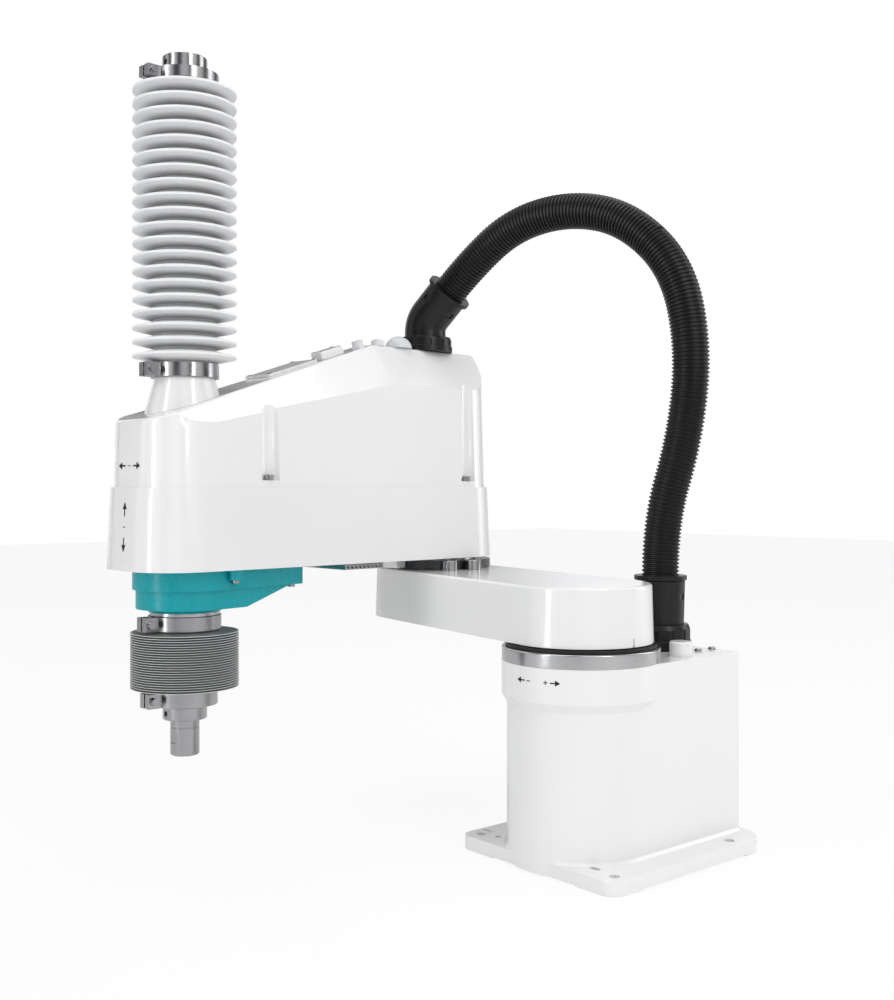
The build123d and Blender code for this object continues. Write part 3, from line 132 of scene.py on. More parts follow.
class ScaraFinish(bpy.types.PropertyGroup):
    """Colours of the robot's finishes."""

    paint: FloatVectorProperty(
        name="Paint", description="Colour of the painted castings", default=(0.85, 0.845, 0.84),
        size=3, subtype="COLOR", min=0, max=1,
    )
    teal: FloatVectorProperty(
        name="Belt cover", description="Colour of the moulded belt cover", default=(0.004, 0.33, 0.37),
        size=3, subtype="COLOR", min=0, max=1,
    )
    bellows: FloatVectorProperty(
        name="Bellows", description="Colour of the coated bellows cloth", default=(0.86, 0.865, 0.87),
        size=3, subtype="COLOR", min=0, max=1,
    )
    plastic: FloatVectorProperty(
        name="Black plastic", description="Colour of the conduit and its fittings",
        default=(0.006, 0.006, 0.007), size=3, subtype="COLOR", min=0, max=1,
    )


class ScaraSizes(bpy.types.PropertyGroup):
    """Sizes of the details that the solids leave plain."""

    rib_pitch: FloatProperty(
        name="Rib pitch", description="Distance between two ribs of the conduit", default=0.0036,
        unit="LENGTH", subtype="DISTANCE",
    )
    rib_depth: FloatProperty(
        name="Rib depth", description="Height of the conduit's ribs", default=0.0016,
        unit="LENGTH", subtype="DISTANCE",
    )
    rib_sides: IntProperty(
        name="Rib sides", description="Flat sides round the conduit", default=44, min=12, max=96,
    )
    edge: FloatProperty(
        name="Edge", description="Rounding of the painted castings' edges", default=0.0011,
        unit="LENGTH", subtype="DISTANCE",
    )
    mark_depth: FloatProperty(
        name="Mark depth", description="Thickness of the printed direction marks", default=0.00012,
        unit="LENGTH", subtype="DISTANCE",
    )


def surface_nodes(name, roughness, metallic=0.0):
    """A new material with its node tree, shader and object coordinates."""
    material = bpy.data.materials.new(name)
    material.use_nodes = True
    tree = material.node_tree
    shader = tree.nodes["Principled BSDF"]
    shader.inputs["Metallic"].default_value = metallic
    shader.inputs["Roughness"].default_value = roughness
    coordinates = tree.nodes.new("ShaderNodeTexCoord")
    return material, tree, shader, coordinates.outputs["Object"]


def noise(tree, vector, scale, detail=3.0, stretch=None):
    """Noise over the object's own coordinates, stretched where asked."""
    if stretch:
        mapping = tree.nodes.new("ShaderNodeMapping")
        mapping.inputs["Scale"].default_value = stretch
        tree.links.new(vector, mapping.inputs["Vector"])
        vector = mapping.outputs["Vector"]
    texture = tree.nodes.new("ShaderNodeTexNoise")
    texture.inputs["Scale"].default_value = scale
    texture.inputs["Detail"].default_value = detail
    tree.links.new(vector, texture.inputs["Vector"])
    return texture.outputs["Fac"]


def vary(tree, factor, socket, low, high):
    """Drives a number of the shader between two values by a pattern."""
    span = tree.nodes.new("ShaderNodeMapRange")
    span.inputs["From Min"].default_value = 0.2
    span.inputs["From Max"].default_value = 0.8
    span.inputs["To Min"].default_value = low
    span.inputs["To Max"].default_value = high
    tree.links.new(factor, span.inputs["Value"])
    tree.links.new(span.outputs["Result"], socket)


def tint(tree, factor, socket, color, spread):
    """Colours a surface between a slightly darker and a slightly lighter shade."""
    mix = tree.nodes.new("ShaderNodeMix")
    mix.data_type = "RGBA"
    mix.inputs["A"].default_value = (*[c * (1 - spread) for c in color], 1)
    mix.inputs["B"].default_value = (*[min(1.0, c * (1 + spread)) for c in color], 1)
    tree.links.new(factor, mix.inputs["Factor"])
    tree.links.new(mix.outputs["Result"], socket)


def shaft_distance(tree, place):
    """Distance of a surface point from the shaft's axis at rest."""
    offset = tree.nodes.new("ShaderNodeVectorMath")
    offset.operation = "SUBTRACT"
    offset.inputs[1].default_value = joint3_axis
    tree.links.new(place, offset.inputs[0])
    flat = tree.nodes.new("ShaderNodeVectorMath")
    flat.operation = "MULTIPLY"
    flat.inputs[1].default_value = (1, 1, 0)
    tree.links.new(offset.outputs["Vector"], flat.inputs[0])
    length = tree.nodes.new("ShaderNodeVectorMath")
    length.operation = "LENGTH"
    tree.links.new(flat.outputs["Vector"], length.inputs[0])
    return length.outputs["Value"]


def bump(tree, shader, height, strength, distance):
    """Raises a pattern on the surface."""
    node = tree.nodes.new("ShaderNodeBump")
    node.inputs["Strength"].default_value = strength
    node.inputs["Distance"].default_value = distance
    tree.links.new(height, node.inputs["Height"])
    tree.links.new(node.outputs["Normal"], shader.inputs["Normal"])


def painted(name, color, roughness):
    """Sprayed paint with a faint orange peel."""
    material, tree, shader, place = surface_nodes(name, roughness)
    shader.inputs["Coat Weight"].default_value = 0.8
    shader.inputs["Coat Roughness"].default_value = 0.10
    tint(tree, noise(tree, place, 6, 2), shader.inputs["Base Color"], color, 0.004)
    vary(tree, noise(tree, place, 6, 2), shader.inputs["Roughness"], roughness - 0.003, roughness + 0.004)
    bump(tree, shader, noise(tree, place, 700, 2), 0.03, 0.0001)
    return material


def turned(name, color, roughness, rings=1400.0):
    """Metal turned on a lathe: fine rings round an upright axis."""
    material, tree, shader, place = surface_nodes(name, roughness, 1.0)
    ring = noise(tree, place, 1.0, 4, (18, 18, rings))
    tint(tree, ring, shader.inputs["Base Color"], color, 0.10)
    vary(tree, noise(tree, place, 90, 4), shader.inputs["Roughness"], roughness - 0.05, roughness + 0.08)
    bump(tree, shader, ring, 0.12, 0.00015)
    return material


def moulded(name, color, roughness, grain=0.10):
    """Moulded plastic with a fine grain."""
    material, tree, shader, place = surface_nodes(name, roughness)
    tint(tree, noise(tree, place, 30, 3), shader.inputs["Base Color"], color, 0.05)
    vary(tree, noise(tree, place, 140, 3), shader.inputs["Roughness"], roughness - 0.05, roughness + 0.06)
    shader.inputs["Specular IOR Level"].default_value = 0.35
    bump(tree, shader, noise(tree, place, 1800, 2), grain, 0.0002)
    return material


def coated_cloth(name, color, valley, fold_edge, painted_valley_shade):
    """Coated bellows cloth: a tight weave under a satin film, with painted shade darkening it towards the bottoms
    of the folds.
    """
    material, tree, shader, place = surface_nodes(name, 0.5)
    shader.inputs["Sheen Weight"].default_value = 0.15
    # Painted shade: the colour darkens with distance from the shaft's axis, from the fold edges into the valleys.
    depth = tree.nodes.new("ShaderNodeMapRange")
    depth.interpolation_type = "SMOOTHSTEP"
    depth.inputs["From Min"].default_value = valley
    depth.inputs["From Max"].default_value = fold_edge
    tree.links.new(shaft_distance(tree, place), depth.inputs["Value"])
    mix = tree.nodes.new("ShaderNodeMix")
    mix.data_type = "RGBA"
    mix.inputs["A"].default_value = (*[c * painted_valley_shade for c in color], 1)
    mix.inputs["B"].default_value = (*color, 1)
    tree.links.new(depth.outputs["Result"], mix.inputs["Factor"])
    tree.links.new(mix.outputs["Result"], shader.inputs["Base Color"])
    vary(tree, noise(tree, place, 200, 3), shader.inputs["Roughness"], 0.42, 0.56)
    weave = tree.nodes.new("ShaderNodeTexWave")
    weave.bands_direction = "Z"
    weave.inputs["Scale"].default_value = 260
    weave.inputs["Distortion"].default_value = 0.6
    tree.links.new(place, weave.inputs["Vector"])
    bump(tree, shader, weave.outputs["Fac"], 0.05, 0.0002)
    return material


def lamp_dome(name, color):
    """Translucent lamp cap."""
    material, tree, shader, place = surface_nodes(name, 0.25)
    shader.inputs["Transmission Weight"].default_value = 0.35
    shader.inputs["IOR"].default_value = 1.45
    tint(tree, noise(tree, place, 50, 2), shader.inputs["Base Color"], color, 0.01)
    vary(tree, noise(tree, place, 120, 2), shader.inputs["Roughness"], 0.2, 0.3)
    return material


def make_finishes(finish):
    """One material for each of the record's slots."""
    paint = tuple(finish.paint)
    return {
        "white_paint": painted("white_paint", paint, 0.34),
        "white_cover": painted("white_cover", tuple(min(1, c * 1.03) for c in paint), 0.26),
        "machined_steel": turned("machined_steel", (0.38, 0.38, 0.385), 0.2),
        "machined_aluminium": turned("machined_aluminium", (0.50, 0.50, 0.505), 0.18, 900),
        "black_seal": moulded("black_seal", (0.008, 0.008, 0.008), 0.5),
        "black_plastic": moulded("black_plastic", tuple(finish.plastic), 0.33, 0.06),
        "conduit_plastic": moulded("conduit_plastic", tuple(c * 1.2 for c in finish.plastic), 0.36, 0.04),
        "teal_cover": moulded("teal_cover", tuple(finish.teal), 0.27, 0.05),
        # Both bellows cloths carry painted shade in their fold valleys.
        "bellows_cloth": coated_cloth(
            "bellows_cloth", tuple(finish.bellows), valley=0.027, fold_edge=0.040, painted_valley_shade=0.5
        ),
        # The lower bellows' cloth is the same cloth painted darker overall, with near-black valleys: painted shade
        # over the whole piece and deep in its narrow folds.
        "lower_bellows_cloth": coated_cloth(
            "lower_bellows_cloth", tuple(c * 0.80 for c in finish.bellows),
            valley=0.0440, fold_edge=0.0460, painted_valley_shade=0.12,
        ),
        "motor_black": painted("motor_black", (0.02, 0.02, 0.022), 0.45),
        "belt_rubber": moulded("belt_rubber", (0.015, 0.015, 0.015), 0.6, 0.2),
        "lamp_plastic": lamp_dome("lamp_plastic", (0.88, 0.9, 0.92)),
        "button_plastic": moulded("button_plastic", (0.75, 0.76, 0.78), 0.3, 0.05),
    }


finishes = {}


def finish_of(slot):
    """The material of a slot, made once."""
    if not finishes:
        finishes.update(make_finishes(bpy.context.scene.scara_finish))
    return finishes[slot]


def new_object(name, mesh, slot, body=None):
    """Adds a piece in its finish, on its body."""
    piece = bpy.data.objects.new(name, mesh)
    bpy.context.scene.collection.objects.link(piece)
    if not mesh.materials:
        mesh.materials.append(finish_of(slot))
    if body:
        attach(piece, body)
    return piece


def smooth_by_angle(shape, angle):
    """Smooth shading, with edges above an angle kept sharp."""
    for face in shape.faces:
        face.smooth = True
    for edge in shape.edges:
        if len(edge.link_faces) == 2:
            edge.smooth = edge.calc_face_angle(0.0) < angle


def even_shading(piece):
    """Lets the large faces set the shading along soft edges."""
    modifier = piece.modifiers.new("even", "WEIGHTED_NORMAL")
    modifier.keep_sharp = True
    modifier.weight = 100
    bpy.context.view_layer.update()
    shaded = bpy.data.meshes.new_from_object(piece.evaluated_get(bpy.context.evaluated_depsgraph_get()))
    piece.modifiers.remove(modifier)
    piece.data = shaded


def node_skin(node, rounding=0.0, angle=28.0, ride=True):
    """A closed, smoothly shaded copy of a CAD node with softened edges, in the node's finish."""
    shape = bmesh.new()
    shape.from_mesh(nodes[node].data)
    bmesh.ops.remove_doubles(shape, verts=shape.verts, dist=2e-6)
    if rounding:
        bmesh.ops.dissolve_limit(
            shape, angle_limit=math.radians(0.4), verts=shape.verts, edges=shape.edges, delimit={"NORMAL"}
        )
        sharp = [
            edge for edge in shape.edges
            if len(edge.link_faces) == 2 and edge.calc_face_angle(0.0) > math.radians(angle)
        ]
        bmesh.ops.bevel(
            shape, geom=sharp, offset=rounding, offset_type="OFFSET", segments=3, profile=0.5,
            affect="EDGES", clamp_overlap=True,
        )
        bmesh.ops.remove_doubles(shape, verts=shape.verts, dist=2e-6)
    smooth_by_angle(shape, math.radians(angle + 6))
    mesh = bpy.data.meshes.new(node + "_skin")
    shape.to_mesh(mesh)
    shape.free()
    piece = new_object(node + "_skin", mesh, slot_of[node], body_of[node] if ride else None)
    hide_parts(node)
    if rounding:
        even_shading(piece)
    return piece


def modifier_input(modifier, tree, name, value):
    """Sets a named input of a geometry tree by its socket's identifier."""
    for item in tree.interface.items_tree:
        if item.item_type == "SOCKET" and item.in_out == "INPUT" and item.name == name:
            modifier[item.identifier] = value
            return
    raise ValueError(name)


def plain_mesh(source, tree, values):
    """Runs a geometry tree on an object and returns the result as a plain mesh."""
    modifier = source.modifiers.new("shape", "NODES")
    modifier.node_group = tree
    for name, value in values.items():
        modifier_input(modifier, tree, name, value)
    bpy.context.view_layer.update()
    evaluated = source.evaluated_get(bpy.context.evaluated_depsgraph_get())
    mesh = bpy.data.meshes.new_from_object(evaluated)
    source.modifiers.remove(modifier)
    bpy.data.objects.remove(source)
    return mesh


def new_tree(name, inputs):
    """A geometry tree with named inputs; returns it with its input and output nodes."""
    tree = bpy.data.node_groups.new(name, "GeometryNodeTree")
    tree.interface.new_socket("Geometry", in_out="INPUT", socket_type="NodeSocketGeometry")
    for label, kind, default in inputs:
        item = tree.interface.new_socket(label, in_out="INPUT", socket_type=kind)
        if default is not None:
            item.default_value = default
    tree.interface.new_socket("Geometry", in_out="OUTPUT", socket_type="NodeSocketGeometry")
    return tree, tree.nodes.new("NodeGroupInput"), tree.nodes.new("NodeGroupOutput")


def math_node(tree, operation, *values):
    """A math node fed by sockets or numbers; returns its result."""
    node = tree.nodes.new("ShaderNodeMath")
    node.operation = operation
    for socket, value in zip(node.inputs, values):
        if isinstance(value, (int, float)):
            socket.default_value = value
        else:
            tree.links.new(value, socket)
    return node.outputs[0]


def close_tree(tree, geometry, group_in, group_out):
    """Ends a tree with real geometry in its material."""
    realize = tree.nodes.new("GeometryNodeRealizeInstances")
    finish = tree.nodes.new("GeometryNodeSetMaterial")
    tree.links.new(geometry, realize.inputs["Geometry"])
    tree.links.new(realize.outputs["Geometry"], finish.inputs["Geometry"])
    tree.links.new(group_in.outputs["Finish"], finish.inputs["Material"])
    tree.links.new(finish.outputs["Geometry"], group_out.inputs["Geometry"])


def ribbed_hose_tree():
    """Sweeps a ribbed tube along a curve: four rings of points make one rib."""
    tree, group_in, group_out = new_tree(
        "Ribbed hose",
        [
            ("Ribs", "NodeSocketInt", 80),
            ("Radius", "NodeSocketFloat", 0.017),
            ("Rib depth", "NodeSocketFloat", 0.0016),
            ("Sides", "NodeSocketInt", 44),
            ("Start", "NodeSocketFloat", 0.0),
            ("End", "NodeSocketFloat", 1.0),
            ("Finish", "NodeSocketMaterial", None),
        ],
    )
    link = tree.links.new
    trim = tree.nodes.new("GeometryNodeTrimCurve")
    trim.mode = "FACTOR"
    resample = tree.nodes.new("GeometryNodeResampleCurve")
    circle = tree.nodes.new("GeometryNodeCurvePrimitiveCircle")
    sweep = tree.nodes.new("GeometryNodeCurveToMesh")
    smooth = tree.nodes.new("GeometryNodeSetShadeSmooth")
    index = tree.nodes.new("GeometryNodeInputIndex")
    count = math_node(tree, "MULTIPLY", group_in.outputs["Ribs"], 4)
    step = math_node(tree, "MODULO", index.outputs[0], 4)
    valley = math_node(tree, "GREATER_THAN", step, 1.5)
    groove = math_node(tree, "MULTIPLY", valley, group_in.outputs["Rib depth"])
    ring_radius = math_node(tree, "SUBTRACT", group_in.outputs["Radius"], groove)
    link(group_in.outputs["Geometry"], trim.inputs["Curve"])
    link(group_in.outputs["Start"], trim.inputs["Start"])
    link(group_in.outputs["End"], trim.inputs["End"])
    link(trim.outputs["Curve"], resample.inputs["Curve"])
    link(count, resample.inputs["Count"])
    link(resample.outputs["Curve"], sweep.inputs["Curve"])
    link(ring_radius, sweep.inputs["Scale"])
    circle.inputs["Radius"].default_value = 1.0
    link(group_in.outputs["Sides"], circle.inputs["Resolution"])
    link(circle.outputs["Curve"], sweep.inputs["Profile Curve"])
    sweep.inputs["Fill Caps"].default_value = True
    link(sweep.outputs["Mesh"], smooth.inputs["Geometry"])
    smooth.inputs["Shade Smooth"].default_value = False
    close_tree(tree, smooth.outputs["Geometry"], group_in, group_out)
    return tree


def screw_head_tree():
    """Puts a socket head on each point: a short cylinder with a six-sided recess."""
    tree, group_in, group_out = new_tree(
        "Socket screws",
        [
            ("Radius", "NodeSocketFloat", 0.0028),
            ("Height", "NodeSocketFloat", 0.002),
            ("Finish", "NodeSocketMaterial", None),
        ],
    )
    link = tree.links.new
    head = tree.nodes.new("GeometryNodeMeshCylinder")
    head.inputs["Vertices"].default_value = 24
    recess = tree.nodes.new("GeometryNodeMeshCylinder")
    recess.inputs["Vertices"].default_value = 6
    cut = tree.nodes.new("GeometryNodeMeshBoolean")
    cut.operation = "DIFFERENCE"
    cut.solver = "EXACT"
    raised = tree.nodes.new("GeometryNodeTransform")
    lifted = tree.nodes.new("ShaderNodeCombineXYZ")
    points = tree.nodes.new("GeometryNodeMeshToPoints")
    place = tree.nodes.new("GeometryNodeInstanceOnPoints")
    facing = tree.nodes.new("GeometryNodeInputNamedAttribute")
    facing.data_type = "FLOAT_VECTOR"
    facing.inputs["Name"].default_value = "facing"
    align = tree.nodes.new("FunctionNodeAlignRotationToVector")
    align.axis = "Z"
    link(group_in.outputs["Radius"], head.inputs["Radius"])
    link(group_in.outputs["Height"], head.inputs["Depth"])
    socket_radius = math_node(tree, "MULTIPLY", group_in.outputs["Radius"], 0.55)
    link(socket_radius, recess.inputs["Radius"])
    link(group_in.outputs["Height"], recess.inputs["Depth"])
    half_height = math_node(tree, "MULTIPLY", group_in.outputs["Height"], 0.5)
    link(half_height, lifted.inputs["Z"])
    link(recess.outputs["Mesh"], raised.inputs["Geometry"])
    link(lifted.outputs["Vector"], raised.inputs["Translation"])
    link(head.outputs["Mesh"], cut.inputs["Mesh 1"])
    link(raised.outputs["Geometry"], cut.inputs["Mesh 2"])
    link(group_in.outputs["Geometry"], points.inputs["Mesh"])
    link(points.outputs["Points"], place.inputs["Points"])
    link(cut.outputs["Mesh"], place.inputs["Instance"])
    link(facing.outputs["Attribute"], align.inputs["Vector"])
    link(align.outputs["Rotation"], place.inputs["Rotation"])
    close_tree(tree, place.outputs["Instances"], group_in, group_out)
    return tree


def screws(name, places, facing, radius, height, slot, body):
    """Socket screws with their heads' middles at the places, facing one way."""
    mesh = bpy.data.meshes.new(name)
    mesh.from_pydata([tuple(p) for p in places], [], [])
    attribute = mesh.attributes.new("facing", "FLOAT_VECTOR", "POINT")
    for item in attribute.data:
        item.vector = facing
    source = bpy.data.objects.new(name + "_points", mesh)
    bpy.context.scene.collection.objects.link(source)
    values = {"Radius": radius, "Height": height, "Finish": finish_of(slot)}
    return new_object(name, plain_mesh(source, screw_head_tree(), values), slot, body)


# Conduit fittings, the same as the solid's: the base's mouth, and the elbow with its run out
conduit_station = -0.107
base_mouth = 0.2395
elbow_station = 0.015
elbow_corner = 0.4905
elbow_leg = 0.043
elbow_lean = math.radians(45)
elbow_run = 0.0233
conduit_start = Vector((conduit_station, 0, 0))
elbow_place = forearm_point(elbow_station, 0.0, 0)
conduit_span = (elbow_place - conduit_start).length
conduit_way = (elbow_place - conduit_start) / conduit_span
mouth_distance = conduit_span - elbow_leg * math.sin(elbow_lean)
mouth_height = elbow_corner + elbow_leg * math.cos(elbow_lean)
conduit_radius = 0.017
split_run = 4


def route_point(distance, height):
    """A point of the upright plane through both conduit fittings."""
    return conduit_start + conduit_way * distance + Vector((0, 0, height))


def conduit_route():
    """Control points of the conduit's centre line, the same as the solid's."""
    return [
        route_point(0, base_mouth),
        route_point(0, 0.288),
        route_point(-0.0235, 0.366),
        route_point(-0.032, 0.445),
        route_point(-0.017, 0.522),
        route_point(0.033, 0.573),
        route_point(0.093, 0.5895),
        route_point(0.155, 0.580),
        route_point(mouth_distance - elbow_run, mouth_height + elbow_run),
        route_point(mouth_distance, mouth_height),
    ]


def conduit_curve(points):
    """The smooth centre line as a NURBS curve object."""
    curve = bpy.data.curves.new("conduit_line", "CURVE")
    curve.dimensions = "3D"
    curve.resolution_u = 24
    line = curve.splines.new("NURBS")
    line.points.add(len(points) - 1)
    for point, place in zip(line.points, points):
        point.co = (*place, 1)
    line.order_u = 3
    line.use_endpoint_u = True
    line.resolution_u = 24
    holder = bpy.data.objects.new("conduit_line", curve)
    bpy.context.scene.collection.objects.link(holder)
    return holder


def read_line(holder):
    """Points along a curve, as Blender itself draws it."""
    bpy.context.view_layer.update()
    mesh = bpy.data.meshes.new_from_object(holder.evaluated_get(bpy.context.evaluated_depsgraph_get()))
    points = [vertex.co.copy() for vertex in mesh.vertices]
    bpy.data.meshes.remove(mesh)
    return points


def line_length(points):
    """Length of a row of points."""
    return sum((b - a).length for a, b in zip(points, points[1:]))


class SCARA_OT_castings(bpy.types.Operator):
    """Dresses the base, both arms and the covers"""

    bl_idname = "scara.castings"
    bl_label = "Castings and covers"

    def execute(self, context):
        edge = context.scene.scara_sizes.edge
        for node in ("base_casting", "arm2_casting", "arm2_cover"):
            node_skin(node, edge)
        node_skin("arm1_casting", edge * 0.6)
        node_skin("belt_cover", edge)
        for node in ("neck", "rear_panel", "blanking_post", "access_plate", "user_connector"):
            node_skin(node, edge * 0.4)
        return {"FINISHED"}


class SCARA_OT_drive_rings(bpy.types.Operator):
    """Dresses the machined rings, hubs, shaft and collars"""

    bl_idname = "scara.drive_rings"
    bl_label = "Rings and shaft"

    def execute(self, context):
        fine_edge = context.scene.scara_sizes.edge * 0.35
        for node in (
            "joint1_ring", "joint1_seal", "joint1_hub", "joint2_reducer", "joint2_hub", "stop_screws",
            "lower_neck", "heat_sink", "arm2_clamps", "lift_clamps", "top_collar", "end_collar",
            "top_holder", "end_holder", "spline_shaft",
        ):
            node_skin(node, fine_edge)
        return {"FINISHED"}


def cut_level(mesh, height, keep_below):
    """Keeps the part of a turned mesh below or above a height, and closes its wall there."""
    shape = bmesh.new()
    shape.from_mesh(mesh)
    bmesh.ops.bisect_plane(
        shape, geom=shape.verts[:] + shape.edges[:] + shape.faces[:], dist=1e-6, plane_co=(0, 0, height),
        plane_no=(0, 0, 1), clear_outer=keep_below, clear_inner=not keep_below,
    )
    rim = [edge for edge in shape.edges if edge.is_boundary]
    bmesh.ops.bridge_loops(shape, edges=rim)
    bmesh.ops.recalc_face_normals(shape, faces=shape.faces)
    shape.to_mesh(mesh)
    shape.free()


class SCARA_OT_bellows(bpy.types.Operator):
    """Dresses both bellows and puts the upper bellows' top cuff on the lift"""

    bl_idname = "scara.bellows"
    bl_label = "Bellows"

    def execute(self, context):
        folds_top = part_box("upper_bellows")[1].z - upper_cuff
        folds = node_skin("upper_bellows", 0.0, 40)
        cut_level(folds.data, folds_top, keep_below=True)
        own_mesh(folds)
        cuff_skin = node_skin("upper_bellows", 0.0, 40, ride=False)
        cuff_skin.name = "upper_bellows_cuff"
        cut_level(cuff_skin.data, folds_top, keep_below=False)
        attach(cuff_skin, "lift")
        lower = node_skin("lower_bellows", 0.0, 40, ride=False)
        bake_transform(lower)
        return {"FINISHED"}


class SCARA_OT_conduit(bpy.types.Operator):
    """Builds the ribbed conduit and dresses its fittings"""

    bl_idname = "scara.conduit"
    bl_label = "Conduit"

    def execute(self, context):
        sizes = context.scene.scara_sizes
        route = conduit_route()
        split = (route[split_run] + route[split_run + 1]) / 2
        whole = read_line(conduit_curve(route))
        split_index = min(range(len(whole)), key=lambda i: (whole[i] - split).length)
        share = line_length(whole[: split_index + 1]) / line_length(whole)
        tree = ribbed_hose_tree()
        halves = (
            ("conduit_lower", 0.0, share, whole[: split_index + 1], "base", "upper_arm"),
            ("conduit_upper", share, 1.0, whole[split_index:], "upper_arm", "forearm"),
        )
        for node, start, end, line, near, far in halves:
            length = line_length(line)
            values = {
                "Ribs": round(length / sizes.rib_pitch),
                "Radius": conduit_radius,
                "Rib depth": sizes.rib_depth,
                "Sides": sizes.rib_sides,
                "Start": start,
                "End": end,
                "Finish": finish_of("conduit_plastic"),
            }
            hose = plain_mesh(conduit_curve(route), tree, values)
            piece = new_object(node + "_hose", hose, "conduit_plastic")
            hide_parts(node)
            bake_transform(piece)
        for holder in [o for o in bpy.data.objects if o.type == "CURVE"]:
            bpy.data.objects.remove(holder)
        for node in ("base_locknut", "base_connector", "elbow_locknut", "elbow"):
            node_skin(node, sizes.edge * 0.5)
        return {"FINISHED"}


def closed_slab(shape, layers):
    """Closes two matching rings of corners into a thin slab."""
    shape.faces.new(layers[1])
    shape.faces.new(layers[0][::-1])
    count = len(layers[0])
    for i in range(count):
        j = (i + 1) % count
        shape.faces.new((layers[0][i], layers[0][j], layers[1][j], layers[1][i]))
    bmesh.ops.recalc_face_normals(shape, faces=shape.faces)
    return shape


def wrapped(outline, radius, azimuth, height, depth):
    """A printed mark, bent round the first joint's axis."""
    shape = bmesh.new()
    layers = []
    for layer_radius in (radius, radius + depth):
        ring = []
        for across, up in outline:
            angle = azimuth + across / radius
            corner = (layer_radius * math.cos(angle), layer_radius * math.sin(angle), height + up)
            ring.append(shape.verts.new(corner))
        layers.append(ring)
    return closed_slab(shape, layers)


def frame_plane(node, gap):
    """The leaning front face of a forearm housing: its foot's middle, the way up it and the way out."""
    near = []
    for vertex in nodes[node].data.vertices:
        offset = vertex.co - joint3_axis
        if abs(offset.dot(forearm_across)) < front_half_width and offset.dot(forearm_along) > front_distance:
            near.append(vertex.co)
    low = min(corner.z for corner in near)
    foot = max((c for c in near if c.z < low + foot_band), key=lambda c: c.dot(forearm_along))
    top = max((c for c in near if c.z > low + top_band), key=lambda c: c.dot(forearm_along))
    lean = top - foot
    up = (forearm_along * lean.dot(forearm_along) + Vector((0, 0, lean.z))).normalized()
    out = forearm_across.cross(up).normalized()
    if out.dot(forearm_along) < 0:
        out = -out
    middle = foot - forearm_across * (foot - joint3_axis).dot(forearm_across)
    return middle + out * gap, up, out


def flat_mark(outline, face, rise, depth):
    """A printed mark on the middle line of a flat face, at a place up it."""
    origin, up, out = face
    shape = bmesh.new()
    layers = []
    for lift in (0.0, depth):
        corners = [origin + forearm_across * x + up * (rise + y) + out * lift for x, y in outline]
        layers.append([shape.verts.new(corner) for corner in corners])
    return closed_slab(shape, layers)


def upended(outline):
    """An outline turned from lying to standing."""
    return [(y, x) for x, y in outline]


def arrow_outline(size, offset, way):
    """Outline of a short arrow pointing one way."""
    tip = offset + way * size
    neck = offset + way * size * 0.5
    return [
        (offset, -size * 0.06),
        (neck, -size * 0.06),
        (neck, -size * 0.28),
        (tip, 0),
        (neck, size * 0.28),
        (neck, size * 0.06),
        (offset, size * 0.06),
    ]


def bar_outline(size, offset, thickness):
    """Outline of one stroke of a plus or minus sign."""
    half = size / 2
    return [
        (offset - half, -thickness / 2),
        (offset + half, -thickness / 2),
        (offset + half, thickness / 2),
        (offset - half, thickness / 2),
    ]


def join_shapes(name, shapes, slot, body):
    """Makes one piece from several shapes."""
    whole = bmesh.new()
    for shape in shapes:
        part = bpy.data.meshes.new("part")
        shape.to_mesh(part)
        shape.free()
        whole.from_mesh(part)
        bpy.data.meshes.remove(part)
    mesh = bpy.data.meshes.new(name)
    whole.to_mesh(mesh)
    whole.free()
    return new_object(name, mesh, slot, body)


class SCARA_OT_marks(bpy.types.Operator):
    """Prints the joints' turning directions and signs"""

    bl_idname = "scara.marks"
    bl_label = "Direction marks"

    def execute(self, context):
        depth = context.scene.scara_sizes.mark_depth
        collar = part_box("joint1_ring")[1]
        collar_radius = collar.x + mark_gap
        mark_level = collar.z - mark_drop
        minus = bar_outline(sign_size, 0, sign_stroke)
        shapes = []
        for way in (1, -1):
            arrow = arrow_outline(collar_arrow, way * collar_spread, way)
            sign = bar_outline(sign_size, way * sign_offset, sign_stroke)
            for outline in (arrow, sign):
                shapes.append(wrapped(outline, collar_radius, mark_azimuth, mark_level, depth))
        plus_azimuth = mark_azimuth + sign_offset / collar_radius
        shapes.append(wrapped(upended(minus), collar_radius, plus_azimuth, mark_level, depth))
        join_shapes("joint1_marks", shapes, "black_plastic", "base")

        face = frame_plane("arm2_cover", mark_gap)
        arrows = [arrow_outline(cover_arrow, way * cover_spread, way) for way in (1, -1)]
        shapes = [flat_mark(outline, face, cover_rise, depth) for outline in (*arrows, minus)]
        join_shapes("joint4_marks", shapes, "black_plastic", "forearm")

        face = frame_plane("arm2_casting", mark_gap)
        arrows = [upended(arrow_outline(casting_arrow, way * casting_spread, way)) for way in (1, -1)]
        shapes = [flat_mark(outline, face, casting_rise, depth) for outline in (*arrows, minus)]
        join_shapes("joint3_marks", shapes, "black_plastic", "forearm")
        return {"FINISHED"}


